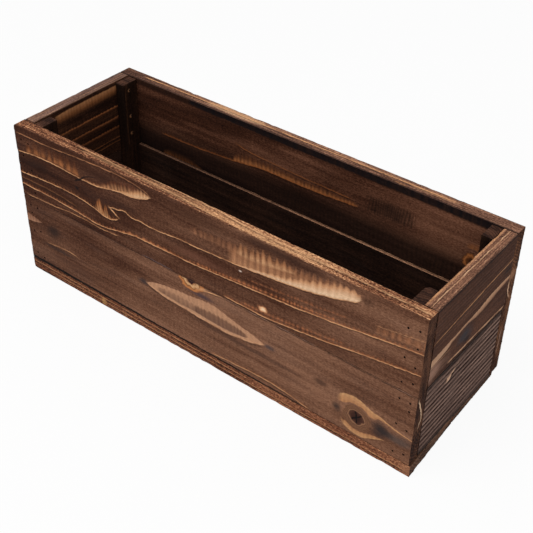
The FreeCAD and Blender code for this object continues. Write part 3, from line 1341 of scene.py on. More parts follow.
FRONT_LOWER_FACE = BurntWood(
    "front_lower_face", Lay.FRONT, seed=11, smoke=0.1,
    tone_line=((-226, 0.02), (-100, 0.07), (0, 0.18), (110, 0.18), (200, 0.17), (226, 0.12)),
    marks=(
        Smudge((-187, 60), (14, 14), (40, 30, 27), 0.75),
        Smudge((-182, 40), (34, 3.5), (48, 38, 36), 0.7),
        Smudge((-170, 30), (60, 9), (78, 50, 39), 0.5),
        Smudge((-66, 59), (9, 5), (52, 46, 48), 0.8),
        Smudge((80, 60), (10, 4), (70, 62, 64), 0.8),
        Smudge((60, 46.5), (90, 4), (72, 50, 42), 0.6),
        Smudge((152, 35), (7, 8), (48, 40, 38), 0.85),
        Flame(((-227, 58.8), (-218, 60), (-210, 61.8), (-203, 63.8)),
            ((-227, 69.8), (-218, 68.8), (-210, 66.8), (-203, 64.6)), (184, 134, 104),
            (150, 104, 80), strength=0.85, licks=1.5, streaks=0.4),
        Flame(((-63, 59.4), (-57, 57.8), (-48, 55.5), (-36, 53.7), (-20, 52.6), (0, 51.6),
             (15, 50.6), (31, 50.6), (46, 52.2), (58, 54.3), (68, 57.1), (75, 59.6)),
            ((-63, 60.2), (-54, 64), (-43, 67.1), (-31, 69.4), (-20, 70.6), (-9, 71.9), (0, 73.4),
             (9, 74.8), (18, 74.8), (28, 72.8), (37, 70.2), (49, 67.5), (61, 64.8), (69, 62.5),
             (75, 60.2)), (204, 154, 118), (196, 146, 112), strength=0.95, licks=0.7, streaks=0.34,
            soft=(0.8, 1.2), pitch=5.4),
        Flame(((-50, 58), (-40, 55.8), (-20, 54.6), (2, 55)),
            ((-50, 59.8), (-40, 64.6), (-20, 66.8), (2, 65.4)), (104, 74, 60), (140, 102, 80),
            licks=3, streaks=0.55, soft=(2, 3), pitch=5.4),
        Flame(((-6, 56.6), (8, 54.2), (24, 53), (42, 54.2), (57, 58.2)),
            ((-6, 62.4), (8, 66), (24, 67.2), (42, 65), (57, 60)), (100, 70, 58), (116, 82, 64),
            strength=0.97, licks=2.6, streaks=0.25, soft=(2.2, 3)),
        PaleLine(((-63, 59.8), (-57, 57.8), (-48, 55.6), (-36, 53.8), (-20, 52.8), (0, 51.8),
             (15, 50.8), (31, 50.8), (46, 52.4), (58, 54.5), (68, 57.3), (75, 60)), strength=0.85,
            thick=1.5, glow=2, shade=(212, 160, 122)),
        Smudge((4, 78), (24, 4), (70, 56, 62), 0.8),
        Knot((-7, 89.6), (16, 12),
            ((0, (42, 22, 23)), (0.28, (56, 30, 28)), (0.36, (160, 108, 74)), (0.48,
             (220, 172, 124)), (0.57, (196, 146, 100)), (0.63, (116, 68, 40)), (0.7,
             (184, 120, 72)), (0.84, (190, 122, 72)), (0.94, (150, 96, 62)), (1, (84, 56, 50))),
            warp=0.45),
        Flame(((-4, 80.6), (4, 82.6), (12, 86.4)), ((-4, 84.6), (4, 87), (12, 88.8)),
            (200, 142, 96), (214, 162, 118), strength=0.75, streaks=0.5, soft=(1, 1)),
        PaleLine(((8, 85.4), (16, 86.6), (24, 87.6), (30, 88.2)), heat=0),
        Smudge((134, 52), (11, 5), (74, 50, 39), 0.8),
        Flame(((153, 43), (159, 44), (165, 47.4), (172, 48.2), (180, 46), (187, 42.6), (194, 45.6),
             (209, 43), (226, 40.6)),
            ((153, 50), (159, 55.6), (165, 57), (172, 56.6), (180, 53.8), (187, 51), (194, 49.2),
             (209, 44.6), (226, 41.8)), (192, 134, 90), (216, 162, 112), strength=0.92, licks=0.8,
            streaks=0.35, soft=(0.8, 0.9)),
        Flame(((157, 22.5), (161, 18.4), (171, 15), (179, 15.6), (186, 18.8), (194, 23),
             (200, 25.6)),
            ((157, 26), (163, 24.6), (171, 21.4), (179, 22), (186, 24.4), (194, 25.4),
             (200, 25.7)), (212, 158, 108), (190, 134, 90), licks=0.8, streaks=0.35,
            soft=(0.9, 0.8)),
        Smudge((212, 34.5), (22, 8), (88, 74, 68), 0.75),
        Smudge((195, 35.5), (15, 12.5), (52, 43, 42), 0.97),
        Knot((171.5, 34.4), (13.6, 13.2),
            ((0, (44, 26, 23)), (0.36, (66, 40, 32)), (0.5, (86, 56, 44)), (0.56, (150, 108, 80)),
             (0.62, (128, 90, 66)), (0.68, (98, 66, 50)), (0.75, (136, 96, 70)), (0.8,
             (100, 68, 52)), (0.88, (134, 94, 68)), (0.93, (96, 66, 50)), (1, (134, 92, 66))),
            cracks=(42, 96), warp=0.38),
        PaleLine(((-200, 42), (-177, 44.6), (-166, 45.4), (-154, 41)), strength=0.4, thick=1,
            glow=1.5, heat=0.3),
        PaleLine(((15, 16.3), (31, 17.8), (46, 18.6), (61, 19.7), (77, 20.2), (92, 19.1),
             (108, 16.6), (124, 14)), strength=0.7, glow=3),
        Flame(((214, 12), (226, 12)), ((214, 13.5), (220, 15.5), (226, 17)), (176, 128, 96),
            (160, 112, 82), strength=0.6),
        band((-226, 60), (87.6, 87.4), (90.4, 90.4), SEAM, (40, 30, 28), strength=0.45, streaks=0,
            soft=(1.2, 0.6)),
        PaleLine(((30, 88.6), (60, 88.6), (100, 88.8), (150, 89), (226, 88.8)), strength=0.6,
            heat=0, shade=(134, 106, 96), shadow=0.7),
        Flame(((-226, 11), (116, 11)),
            ((-226, 16.6), (-150, 16), (-100, 15.6), (0, 15.2), (60, 14.9), (116, 14.2)), GAP_SHADE, GAP_SHADE,
            strength=0.97, streaks=0, soft=(0.5, 0.6)),
    ),
)

FRONT_RIM = BurntWood(
    "front_rim", Lay.FLAT, seed=21, smoke=0, grain=2.6, hair=5, fibre=0.25,
    shades=((54, 30, 21), (110, 68, 48), (162, 109, 77), (224, 172, 126)),
    tone_line=((-226, -0.1), (-130, -0.07), (-60, 0.02), (60, 0.06), (120, 0.06), (180, 0.03),
        (226, 0.05)),
    marks=(
        Flame(((-140, -70.5), (-60, -71.5), (60, -74), (128, -72)),
            ((-140, -67.5), (-60, -65.5), (60, -64), (128, -65)), (224, 174, 128), (206, 154, 110),
            strength=0.5, licks=1.5, streaks=0.8, pitch=2.6),
        Flame(((-100, -69), (-40, -70), (20, -68.4)), ((-100, -67.4), (-40, -66.6), (20, -65.8)),
            (104, 66, 48), (120, 78, 58), strength=0.6, licks=1, streaks=0.8, pitch=2.6),
        PaleLine(((-150, -66.4), (-100, -67.2), (-60, -69), (-20, -70), (20, -72.6), (100, -73.4)),
            strength=0.6, thick=1.3, glow=1, shadow=0.45, shade=(220, 168, 122)),
        PaleLine(
            ((-64, -63.9), (-20, -64.4), (20, -65.2), (60, -68.6), (100, -68.6), (226, -69.4)),
            strength=0.6, thick=1.3, glow=1, shade=(228, 178, 132)),
        Flame(((-226, -77), (226, -77)), ((-226, -74.2), (-60, -74.4), (40, -74.8), (226, -74.6)),
            (58, 38, 30), (70, 46, 36), strength=0.8, streaks=0.1, soft=(0.5, 0.9)),
        # Painted shade on the rounded inner arris.
        band((-226, 226), (-64.2, -64), (-62, -62), (60, 40, 30), (30, 20, 16), strength=0.8,
            streaks=0.1),
    ),
)

BACK_RIM = BurntWood(
    "back_rim", Lay.FLAT, seed=25, smoke=0.05, grain=1.7, hair=4.5, fibre=0.18,
    shades=((60, 39, 31), (106, 73, 58), (146, 105, 84), (196, 148, 116)),
    tone_line=((-226, -0.08), (-180, -0.05), (-80, 0.05), (0, 0), (120, 0), (226, -0.06)),
    marks=(
        Flame(((-112, 69), (-95, 67.4), (-62, 67.2), (-40, 70)),
            ((-112, 71.4), (-95, 76), (-62, 76.4), (-40, 71.8)), (226, 180, 138), (212, 164, 124),
            strength=0.8, licks=1.5),
        Flame(((118, 69), (136, 67.6), (166, 69)), ((118, 71), (136, 73.8), (166, 73)),
            (206, 154, 114), (186, 134, 98), strength=0.75, licks=1.5, streaks=0.4),
        band((104, 118), (64.6, 64.6), (67.6, 67.4), (196, 140, 98), (176, 122, 84), strength=0.6),
        PaleLine(((-195, 70.6), (-110, 71), (0, 70.4), (130, 70.6), (160, 70.4)), strength=0.8,
            thick=1.2, glow=1.5),
        # Painted shade on the rounded inner arris.
        Flame(((-226, 61), (226, 61)), ((-226, 65.4), (-80, 66.2), (60, 65.6), (226, 65)),
            (34, 24, 20), (52, 36, 30), strength=0.85, streaks=0.1, soft=(0.5, 1.2)),
        band((96, 226), (75, 74.6), (77, 77), (50, 36, 32), strength=0.75, streaks=0.1),
    ),
)

LEFT_RIM = BurntWood(
    "left_rim", Lay.END_RIM, seed=31, smoke=0.3, grain=1.4, hair=3.5,
    shades=((56, 40, 36), (92, 68, 60), (124, 94, 82), (164, 126, 104)),
    wild=WildGrain(spacing=3.4, drift=3, glow=1.2, strength=0.45),
    marks=(
        # Painted shade on the rounded inner arris.
        band((-66, 66), (-212.6, -212), (-209, -209), (50, 34, 28), (30, 20, 17), strength=0.7,
            streaks=0.1),
    ),
)

RIGHT_RIM = BurntWood(
    "right_rim", Lay.END_RIM, seed=35, smoke=0.05, grain=1.6, hair=4,
    shades=((66, 43, 34), (112, 77, 60), (152, 108, 84), (204, 162, 128)),
    marks=(
        PaleLine(((-64, 217.4), (0, 217.4), (64, 217.6)), strength=0.8, glow=1.2,
            shade=(224, 180, 142), shadow=0.2),
        PaleLine(((-64, 213.2), (0, 213.2), (64, 212.8)), strength=0.55, thick=1.3, glow=1.2),
        band((-64, 64), (220, 219.8), (221.6, 221.4), (98, 68, 54), strength=0.6, streaks=0.1,
            soft=(0.4, 0.4)),
        band((-64, 64), (223, 223), (226, 226), (70, 50, 42), (48, 34, 30), strength=0.7,
            streaks=0.1),
    ),
)

RIGHT_UPPER_FACE = BurntWood(
    "right_upper_face", Lay.END, seed=41, smoke=0,
    shades=((34, 19, 14), (61, 37, 27), (87, 56, 42), (124, 85, 64)),
    marks=(
        # Painted shade in fine grooves and painted light on the ridges between them.
        Ribs(98, 4.1, (50, 32, 26), (98, 68, 54), (122, 128), (160, 165), 0.5),
        band((-66, 66), (164.4, 164.8), (169, 169), (38, 28, 26), (30, 22, 20), strength=0.85,
            streaks=0.1, soft=(2, 0.6)),
        Smudge((-62, 104), (36, 13), (152, 115, 97), 0.95),
        PaleLine(((-66, 100.2), (-30, 101.6)), strength=0, heat=0),
        PaleLine(((-66, 108.4), (-30, 110.6)), strength=0.3, heat=0),
        Flame(((-66, 109.5), (-47, 112), (-29, 115.8), (-8, 118.3), (10, 116), (26, 117.4),
             (42, 120.1), (66, 123.3)),
            ((-66, 118.5), (-40, 120), (-15, 121.4), (10, 123.6), (32, 126.6), (47, 127.2),
             (66, 126.2)), (174, 130, 102), (210, 162, 126), strength=0.92, licks=0.8, streaks=0.2,
            soft=(2.6, 0.9)),
        Flame(((-66, 110), (-50, 111.4), (-33, 114.6)), ((-66, 118.4), (-50, 119.4), (-33, 119.8)),
            (196, 156, 126), (178, 138, 110), strength=0.85, streaks=0.15, soft=(1.2, 1.2)),
        Smudge((-9, 110), (19, 11), (58, 52, 54), 0.95),
        Smudge((-5, 101.5), (9, 4), (34, 30, 32), 0.85),
        Smudge((56, 136), (10, 5), (34, 28, 28), 0.7),
        PaleLine(((-62, 133.8), (0, 139), (66, 142.8)), strength=0.45, thick=1.2, glow=2,
            heat=0.4),
        PaleLine(((-34, 95.6), (-20, 95.2), (10, 94.6), (62, 92.8)), strength=0.75, thick=1.6,
            glow=2, shade=(214, 168, 132)),
        band((-66, 66), (88, 88), (91.6, 91.4), GAP_SHADE, streaks=0, soft=(0.5, 0.9)),
    ),
)

RIGHT_LOWER_FACE = BurntWood(
    "right_lower_face", Lay.END, seed=45, smoke=0.15, hair=2,
    shades=((50, 37, 33), (84, 64, 57), (112, 88, 78), (146, 116, 102)),
    marks=(
        # Painted shade in the scored grooves and painted light on the ridges between them.
        Ribs(17.5, 5.75, (44, 29, 25), (154, 123, 108), (0, 34), strength=0.95),
        Flame(((-20, 79.8), (20, 80.2), (62, 80.6)), ((-20, 83.8), (20, 83.6), (62, 83)),
            (168, 134, 114), (132, 104, 90), strength=0.7, streaks=0.2),
        Flame(((-31, 69.4), (-24, 72.4), (-17, 77.4)), ((-31, 72.4), (-24, 77.4), (-17, 80)),
            (222, 180, 150), (206, 164, 134), strength=0.95, streaks=0.1, soft=(0.6, 0.6)),
        # Painted shadow beside the chip.
        band((-25, -16), (68, 74), (71.4, 77), (30, 20, 18), strength=0.8, streaks=0,
            soft=(0.6, 0.6)),
        band((-66, 66), (86.6, 86.6), (91, 91), (30, 24, 23), GAP_SHADE, strength=0.85, streaks=0,
            soft=(1.4, 0.5)),
        Flame(((-66, 11), (66, 11)), ((-66, 17), (20, 16.4), (66, 15.6)), GAP_SHADE, GAP_SHADE, streaks=0.1,
            soft=(0.5, 1.2)),
    ),
)

FRONT_ENDS = EndGrain(
    "front_ends", Lay.POST_X, seed=51, pith=(60, -40), dark=(56, 35, 27), light=(110, 74, 55),
    marks=(
        PaleLine(((50, -70), (54, -68), (61, -66.2), (67, -67.4), (77, -70.5), (86, -74.2)),
            thick=1.3, glow=0.8, shade=(214, 180, 148), shadow=0.6),
    ),
)

LONG_ENDS = EndGrain("long_ends", Lay.POST_X, seed=53, pith=(60, -30))
BACK_ENDS = EndGrain(
    "back_ends", Lay.POST_X, seed=55, dark=(60, 37, 28), light=(130, 88, 62), pith=(90, 30),
    marks=(
        PaleLine(((96, 71.8), (102, 66.6), (109, 64.2), (119, 64)), thick=1.6, glow=3, heat=0.5,
            shade=(216, 174, 142)),
        Flame(((36, 65), (50, 66), (64, 66.6)), ((36, 67), (50, 69.2), (64, 69)), (166, 132, 112),
            (150, 116, 98), strength=0.8, streaks=0.1),
        band((118, 129), (63, 63), (75, 75), (168, 124, 94), (150, 106, 80), strength=0.7,
            streaks=0.2, soft=(1, 1)),
    ),
)

BASE_ENDS = EndGrain(
    "base_ends", Lay.END, seed=57, dark=(74, 52, 42), light=(132, 98, 78), pith=(-20, 60),
    marks=(
        band((-25, -2), (4, 4), (14, 14), (128, 92, 70), (140, 102, 78), strength=0.6,
            streaks=0.4),
        band((-78, 78), (-1, -1), (1.6, 1.6), GAP_SHADE, strength=0.7, streaks=0.2),
    ),
)

BASE_EDGE = BurntWood(
    "base_edge", Lay.FRONT, seed=61, smoke=0, grain=2.4, hair=2, fibre=0.2,
    shades=((50, 27, 18), (95, 54, 37), (134, 84, 60), (184, 128, 90)),
    tone_line=((-226, -0.08), (-100, -0.04), (100, 0.05), (226, 0.06)),
    marks=(
        PaleLine(((-226, 9), (-100, 9.6), (60, 9.2)), strength=0.35, glow=1.5, shadow=0.9),
        PaleLine(((-200, 5.4), (-60, 5), (100, 4.6), (226, 4.8)), strength=0.35, glow=1.5,
            shadow=0.9),
        band((-127, -121), (2, 2), (11, 11), (206, 160, 100), (190, 140, 88), strength=0.8,
            streaks=0.2),
        band((-98, -93), (1, 1), (10, 10), (190, 136, 90), (150, 100, 70), strength=0.6),
        band((-226, 116), (12, 12.2), (14, 14), GAP_SHADE, streaks=0, soft=(0.7, 0.5)),
        band((216, 226), (1, 1), (12, 14), (150, 104, 78), (164, 116, 86), strength=0.6,
            streaks=0.2),
    ),
)

BASE_FACE = BurntWood(
    "base_face", Lay.FLAT, seed=65,
    shades=((34, 23, 19), (68, 46, 36), (104, 72, 54), (150, 108, 80)), wild=WildGrain(share=0.4),
)

BACK_UPPER_FACE = BurntWood(
    "back_upper_face", Lay.FRONT, seed=71,
    wild=WildGrain(spacing=21, drift=44, share=0.45, strength=0.75),
    marks=(
        Smudge((118, 127), (26, 9), (46, 32, 28), 0.8),
        Flame(((72, 124), (84, 117), (98, 114), (112, 118), (128, 124)),
            ((72, 127), (84, 137), (98, 141), (112, 137), (128, 127)), (168, 112, 72),
            (150, 98, 64), strength=0.75, licks=1.5, streaks=0.5),
        Knot((97, 127), (11, 9),
            ((0, (30, 20, 18)), (0.4, (56, 37, 30)), (0.6, (96, 64, 48)), (0.8, (74, 48, 36)), (1,
             (120, 82, 58))), cracks=(24, 100), warp=0.5),
    ),
)

BACK_LOWER_FACE = BurntWood(
    "back_lower_face", Lay.FRONT, seed=77, smoke=0.2,
    wild=WildGrain(spacing=27, drift=46, share=0.35, strength=0.7),
    marks=(
        Flame(((-150, 43), (-132, 36), (-118, 33), (-104, 37), (-84, 44)),
            ((-150, 47), (-132, 52), (-118, 54), (-104, 51), (-84, 46)), (150, 100, 66),
            (176, 122, 80), strength=0.7, licks=1, streaks=0.5),
        Knot((-118, 44), (8, 6.5),
            ((0, (32, 21, 18)), (0.45, (62, 42, 33)), (0.7, (104, 70, 50)), (1, (80, 52, 40))),
            cracks=(60,), warp=0.6),
    ),
)

LEFT_UPPER_FACE = BurntWood(
    "left_upper_face", Lay.END, seed=81, wild=WildGrain(spacing=14, drift=22, share=0.6),
)

LEFT_LOWER_FACE = BurntWood(
    "left_lower_face", Lay.END, seed=85, smoke=0.2, wild=WildGrain(spacing=16, drift=24),
)

INNER_BACK_UPPER = BurntWood(
    "inner_back_upper", Lay.FRONT, seed=91, smoke=0.03, gloss=0.03,
    shades=((38, 21, 15), (76, 45, 32), (118, 77, 58), (160, 110, 84)),
    tone_line=((-226, -0.1), (0, 0), (120, 0.06), (190, 0.06), (226, 0)),
    marks=(
        # Painted shade along the rounded top arris of the inner face.
        Flame(((-226, 161), (-60, 161), (226, 158)), ((-226, 169), (226, 169)), (40, 25, 20),
            (26, 18, 16), strength=0.8, streaks=0.2, soft=(2, 1)),
        Flame(((-130, 163), (-60, 161), (60, 160.6), (226, 160)), ((-130, 169), (226, 169)),
            (28, 24, 26), (20, 18, 21), strength=0.95, soft=(1.6, 0.6), pitch=9),
        Flame(((-110, 117), (-70, 120), (-30, 124.2), (6, 124.2), (71, 127)),
            ((-110, 118.6), (-70, 122.4), (-30, 126.4), (6, 126.4), (71, 128.6)), (196, 122, 70),
            (140, 80, 44), strength=0.8, licks=0.6, streaks=1, soft=(0.5, 0.8), pitch=4.8),
        band((80, 132), (127, 127), (147, 148), (30, 20, 17), (34, 22, 18), strength=0.8,
            streaks=1, soft=(4, 5), pitch=2.6),
        # Painted shade: darker towards the bottom of the trough.
        Flame(((-226, 91), (0, 91), (226, 91)), ((-226, 124), (0, 134), (226, 124)), (22, 15, 14),
            (30, 20, 17), strength=0.93, streaks=0.1, soft=(1, 22)),
        Flame(((-75, 120), (-52, 122.8), (-30, 124.7), (6, 124.7), (36, 125.8), (71, 127.6)),
            ((-75, 121), (-52, 135), (-24, 134.6), (0, 133.8), (36, 133.8), (71, 132.6)),
            (214, 136, 80), (120, 72, 45), licks=3, streaks=0.7, soft=(0.8, 5), pitch=4.8),
        Smudge((105, 137), (30, 14), (44, 29, 24), 0.6),
        Flame(((-168, 92), (-150, 92), (-112, 92)), ((-168, 93), (-150, 101), (-112, 93)),
            (150, 90, 50), (110, 66, 38), strength=0.55, streaks=0.6, soft=(2, 4.5)),
        band((183, 195), (134.6, 134.6), (141, 142.6), (196, 122, 70), (150, 88, 50),
            strength=0.75, streaks=0.6, soft=(1, 3)),
        Knot((187, 122), (7, 9),
            ((0, (60, 36, 24)), (0.4, (110, 64, 36)), (0.7, (190, 116, 64)), (1, (80, 50, 36))),
            warp=0.8),
        PaleLine(((-168, 116), (-132, 116.4), (-102, 117.9), (-70, 120.3), (-52, 122.9),
             (-30, 124.7), (6, 124.7), (36, 125.8), (71, 127.6)), strength=0.3, glow=3,
            shade=(186, 112, 62), ember=(130, 72, 38)),
        PaleLine(((-72, 141.3), (-52, 137.3), (-24, 135.4), (0, 134.4), (65, 133.5)),
            strength=0.35, glow=2, shade=(190, 116, 66), ember=(120, 68, 38)),
    ),
)

# The char's colour, darkened further as painted shade deep in the trough.
INNER_BACK_LOWER = BurntWood(
    "inner_back_lower", Lay.FRONT, seed=95, smoke=0.03, gloss=0.02,
    shades=((20, 14, 12), (34, 22, 18), (54, 35, 27), (88, 58, 43)),
)

LEDGE = BurntWood(
    "ledge", Lay.FLAT, seed=97, smoke=0.1, grain=1.4,
    shades=((50, 34, 27), (96, 68, 52), (140, 100, 76), (184, 136, 104)),
    tone_line=((-226, -0.3), (-195, -0.1), (-60, 0.02), (60, 0.06), (110, 0.14), (165, 0.12),
        (226, -0.06)),
    marks=(
        # Painted shade in the corner where the ledge meets the upper board's inner face.
        band((-226, 226), (61.8, 61.8), (63.6, 63.6), (52, 36, 29), (34, 23, 19), strength=0.7,
            streaks=0.1, soft=(0.5, 0.4)),
    ),
)

INNER_LONG = BurntWood(
    "inner_long", Lay.FRONT, seed=101, smoke=0.05, gloss=0.03, shades=INSIDE_SHADES,
    wild=INSIDE_GRAIN,
)

INNER_LEFT = BurntWood(
    "inner_left", Lay.END, seed=105, smoke=0, gloss=0.03,
    shades=((22, 13, 10), (44, 26, 19), (74, 46, 32), (116, 75, 50)),
    marks=(
        Flame(((-37, 152.4), (0, 152.8), (47, 153.4)), ((-37, 163), (0, 164.4), (47, 164)),
            (156, 98, 60), (206, 142, 94), strength=0.92, streaks=0.35, soft=(7, 1.2)),
        band((-66, 66), (137, 137.4), (142, 142.2), (80, 46, 29), (196, 120, 72), strength=0.95,
            licks=0.8, streaks=0.6, soft=(3, 0.8)),
        band((-66, 66), (124.4, 124.6), (130, 130.2), (72, 42, 27), (176, 108, 66), licks=0.8,
            streaks=0.4, soft=(3, 0.8)),
        band((-66, 66), (113, 113.4), (119, 119.2), (66, 38, 25), (150, 90, 54), licks=1,
            streaks=0.4, soft=(3, 0.8)),
        PaleLine(((-66, 105), (66, 105.4)), strength=0.35, glow=2, heat=0.3, shade=(150, 92, 56)),
        PaleLine(((-66, 100.8), (66, 101.2)), strength=0.35, glow=2, heat=0.3,
            shade=(150, 92, 56)),
    ),
)

INNER_RIGHT = BurntWood(
    "inner_right", Lay.END, seed=109, smoke=0.05, gloss=0.03, shades=INSIDE_SHADES,
    wild=INSIDE_GRAIN,
)

POST_SIDES = BurntWood(
    "post_sides", Lay.POST_X, seed=115, smoke=0, gloss=0.03,
    shades=((16, 10, 8), (30, 19, 14), (50, 31, 22), (90, 58, 40)),
    marks=(
        *(
            Smudge((height, 51.4), (2.4, 2.2), (176, 124, 86), 0.9)
            for height in (158.6, 129.8, 110.3)
        ),
        PaleLine(((96, 46.6), (130, 46.2), (160, 46.6)), strength=0.3, heat=0,
            shade=(120, 80, 56)),
    ),
)

POST_FACES = BurntWood(
    "post_faces", Lay.POST_Y, seed=117, smoke=0, gloss=0.03,
    shades=((14, 9, 8), (26, 17, 13), (44, 28, 20), (84, 54, 38)),
)

POST_TOPS = EndGrain(
    "post_tops", Lay.FLAT, seed=119, dark=(52, 33, 26), light=(96, 64, 49), pith=(190, 20),
)

BRIGHT_STEEL = Steel("bright_steel", (70, 62, 56), (176, 172, 166), 0.35)
DARK_STEEL = Steel("dark_steel", (34, 27, 24), (92, 84, 78), 0.75)


# ---------------------------------------------------------------------------
# Sub-assemblies
# ---------------------------------------------------------------------------


# The lower back board's block, which the upper end boards and the back posts pass over.
BACK_LEDGE = Notch((-230, 60.5, 0), (230, 90, 93))


class Assembly:
    """A group of boards that are built together."""

    def boards(self) -> Sequence[Board]:
        """The boards of the group."""
        raise NotImplementedError

    def build(self, rack: Rack) -> list[bpy.types.Object]:
        """Builds and dresses every board.

        Args:
            rack: The finishes that pieces share.

        Returns:
            The finished pieces.
        """
        return [board.build(rack) for board in self.boards()]


@dataclass
class LongSides(Assembly):
    """The front and the back, two boards each, with the holes of their brads.

    Attributes:
        front_y: The outer face of the front.
        back_y: The outer face of the back.
        step: The spacing of the mesh on a long board.
        outer_x: Where the brads into the end boards are.
        inner_x: Where the brads into the posts are.
        front_lower: Heights of the brads in the lower front board, outer then inner.
        front_upper: Heights of the brads in the upper front board.
        back_lower: Heights of the brads in the lower back board.
        back_upper: Heights of the brads in the upper back board.
        corner: The corner of the upper front board that is rounded, along X and Z.
        rounding: How far it is rounded.
        facets: The slopes of the flats that round it, in degrees.
    """

    front_y: float = -76
    back_y: float = 76
    step: tuple[float, float, float] = (3, 2, 1.05)
    outer_x: tuple[float, float] = (-216.5, 218.5)
    inner_x: tuple[float, float] = (-207, 208.5)
    front_lower: BradHeights = ((22.1, 49.5, 70.8, 79.9), (19.8, 51.8, 79.9))
    front_upper: BradHeights = ((100.9, 117.4, 136.4, 153.8), (97.7, 123, 152.2))
    back_lower: BradHeights = ((22.6, 51.4, 73.8, 83.4), (20.2, 53.8, 83.4))
    back_upper: BradHeights = ((104.3, 120, 138, 154.5), (101.3, 125.3, 153))
    corner: tuple[float, float] = (-225, 168)
    rounding: float = 4
    facets: Sequence[float] = (20, 45, 70)

    def holes(self, y: float, heights: BradHeights) -> list[Hole]:
        """The holes of one board's brads."""
        columns = zip((self.outer_x, self.inner_x), heights)
        return [Hole((x, y, z), 1) for xs, zs in columns for x in xs for z in zs]

    def boards(self) -> Sequence[Board]:
        """Both boards of both sides."""
        x, z = self.corner
        slopes = [(math.cos(turn), math.sin(turn)) for turn in map(math.radians, self.facets)]
        rounded = [
            Trim((x + self.rounding * (1 - c), 0, z - self.rounding * (1 - s)), (-c, 0, s))
            for c, s in slopes
        ]
        rows = (
            ("front", "upper", INNER_LONG, FRONT_UPPER_FACE, FRONT_RIM, self.front_upper, rounded),
            ("front", "lower", INNER_LONG, FRONT_LOWER_FACE, BASE_FACE, self.front_lower, ()),
            ("back", "upper", INNER_BACK_UPPER, BACK_UPPER_FACE, BACK_RIM, self.back_upper, ()),
            ("back", "lower", INNER_BACK_LOWER, BACK_LOWER_FACE, LEDGE, self.back_lower, ()),
        )
        made = []
        for where, half, inside, face, top, heights, trims in rows:
            front = where == "front"
            sides = {None: inside, Side.FRONT if front else Side.BACK: face, Side.TOP: top,
                     Side.LEFT: LONG_ENDS, Side.RIGHT: FRONT_ENDS if front else BACK_ENDS,
                     Side.UNDER: BASE_FACE}
            holes = self.holes(self.front_y if front else self.back_y, heights)
            made.append(Board(f"{where}_{half}_board", f"burnt_{where}", 0, sides, self.step,
                              seed=len(made) + 1, trims=trims, cuts=holes))
        return made


@dataclass
class Ends(Assembly):
    """The boards caught between the front and the back at both ends.

    Attributes:
        ledge: The block of the lower back board that the upper boards pass over.
        groove_start: The height of the first scored line, from the ground.
        groove_pitch: The spacing of the scored lines.
        groove_size: Their width and depth.
        step: The spacing of the mesh on an end board.
        fine_step: Its spacing on the scored board.
    """

    ledge: Notch = BACK_LEDGE
    groove_start: float = 17.5
    groove_pitch: float = 5.75
    groove_size: tuple[float, float] = (2.9, 1)
    step: tuple[float, float, float] = (2, 2.5, 0.9)
    fine_step: tuple[float, float, float] = (2, 2.5, 0.64)

    def boards(self) -> Sequence[Board]:
        """Both boards of both ends."""
        grooves = (Side.RIGHT, self.groove_start, self.groove_pitch, *self.groove_size)
        scored = {"step": self.fine_step, "arris": 0.6, "wear": Wear(rings=0.2, grooves=grooves)}
        rows = (
            ("left_end_upper_board", {None: INNER_LEFT, Side.LEFT: LEFT_UPPER_FACE,
                                      Side.TOP: LEFT_RIM}, {"cuts": (self.ledge,)}),
            ("left_end_lower_board", {None: INNER_RIGHT, Side.LEFT: LEFT_LOWER_FACE}, {}),
            ("right_end_upper_board", {None: INNER_RIGHT, Side.RIGHT: RIGHT_UPPER_FACE,
                                       Side.TOP: RIGHT_RIM}, {"cuts": (self.ledge,)}),
            ("right_end_lower_board", {None: INNER_RIGHT, Side.RIGHT: RIGHT_LOWER_FACE}, scored),
        )
        return [
            Board(node, "burnt_end", 1, sides, **{"step": self.step, "seed": seed, **extra})
            for seed, (node, sides, extra) in enumerate(rows, 5)
        ]


@dataclass
class Bottom(Assembly):
    """The two boards that the walls stand on, sawn out of square at the right end.

    Attributes:
        skew: How far the right end falls back over one board's width.
        flare: How far the front right corner stands out.
        brad_x: Where the brads under the long sides are, along X.
        brad_y: Where they are along Y, in the front and the back board.
        end_x: Where the brads under the end boards are.
        end_y: How far from the middle those are.
        step: The spacing of the mesh on a bottom board.
    """

    skew: float = 1.74
    flare: float = 1.7
    brad_x: Sequence[float] = (-180, -90, 0, 90, 180)
    brad_y: tuple[float, float] = (-69.5, 68.25)
    end_x: Sequence[float] = (-216.5, 218.5)
    end_y: float = 38
    step: tuple[float, float, float] = (3, 1.5, 1.3)

    def boards(self) -> Sequence[Board]:
        """The front and the back board of the bottom."""
        sides = {None: BASE_FACE, Side.FRONT: BASE_EDGE, Side.BACK: BASE_EDGE,
                 Side.LEFT: BASE_ENDS, Side.RIGHT: BASE_ENDS}
        made = []
        for where, way, y in zip(("front", "back"), (-1, 1), self.brad_y):
            holes = [Hole((x, y, 0), 2) for x in self.brad_x]
            holes += [Hole((x, way * self.end_y, 0), 2) for x in self.end_x]
            made.append(Board(f"bottom_{where}_board", "burnt_bottom", 0, sides, self.step,
                              seed=9 + len(made), skew=self.skew,
                              flare=self.flare if way < 0 else 0, cuts=holes))
        return made


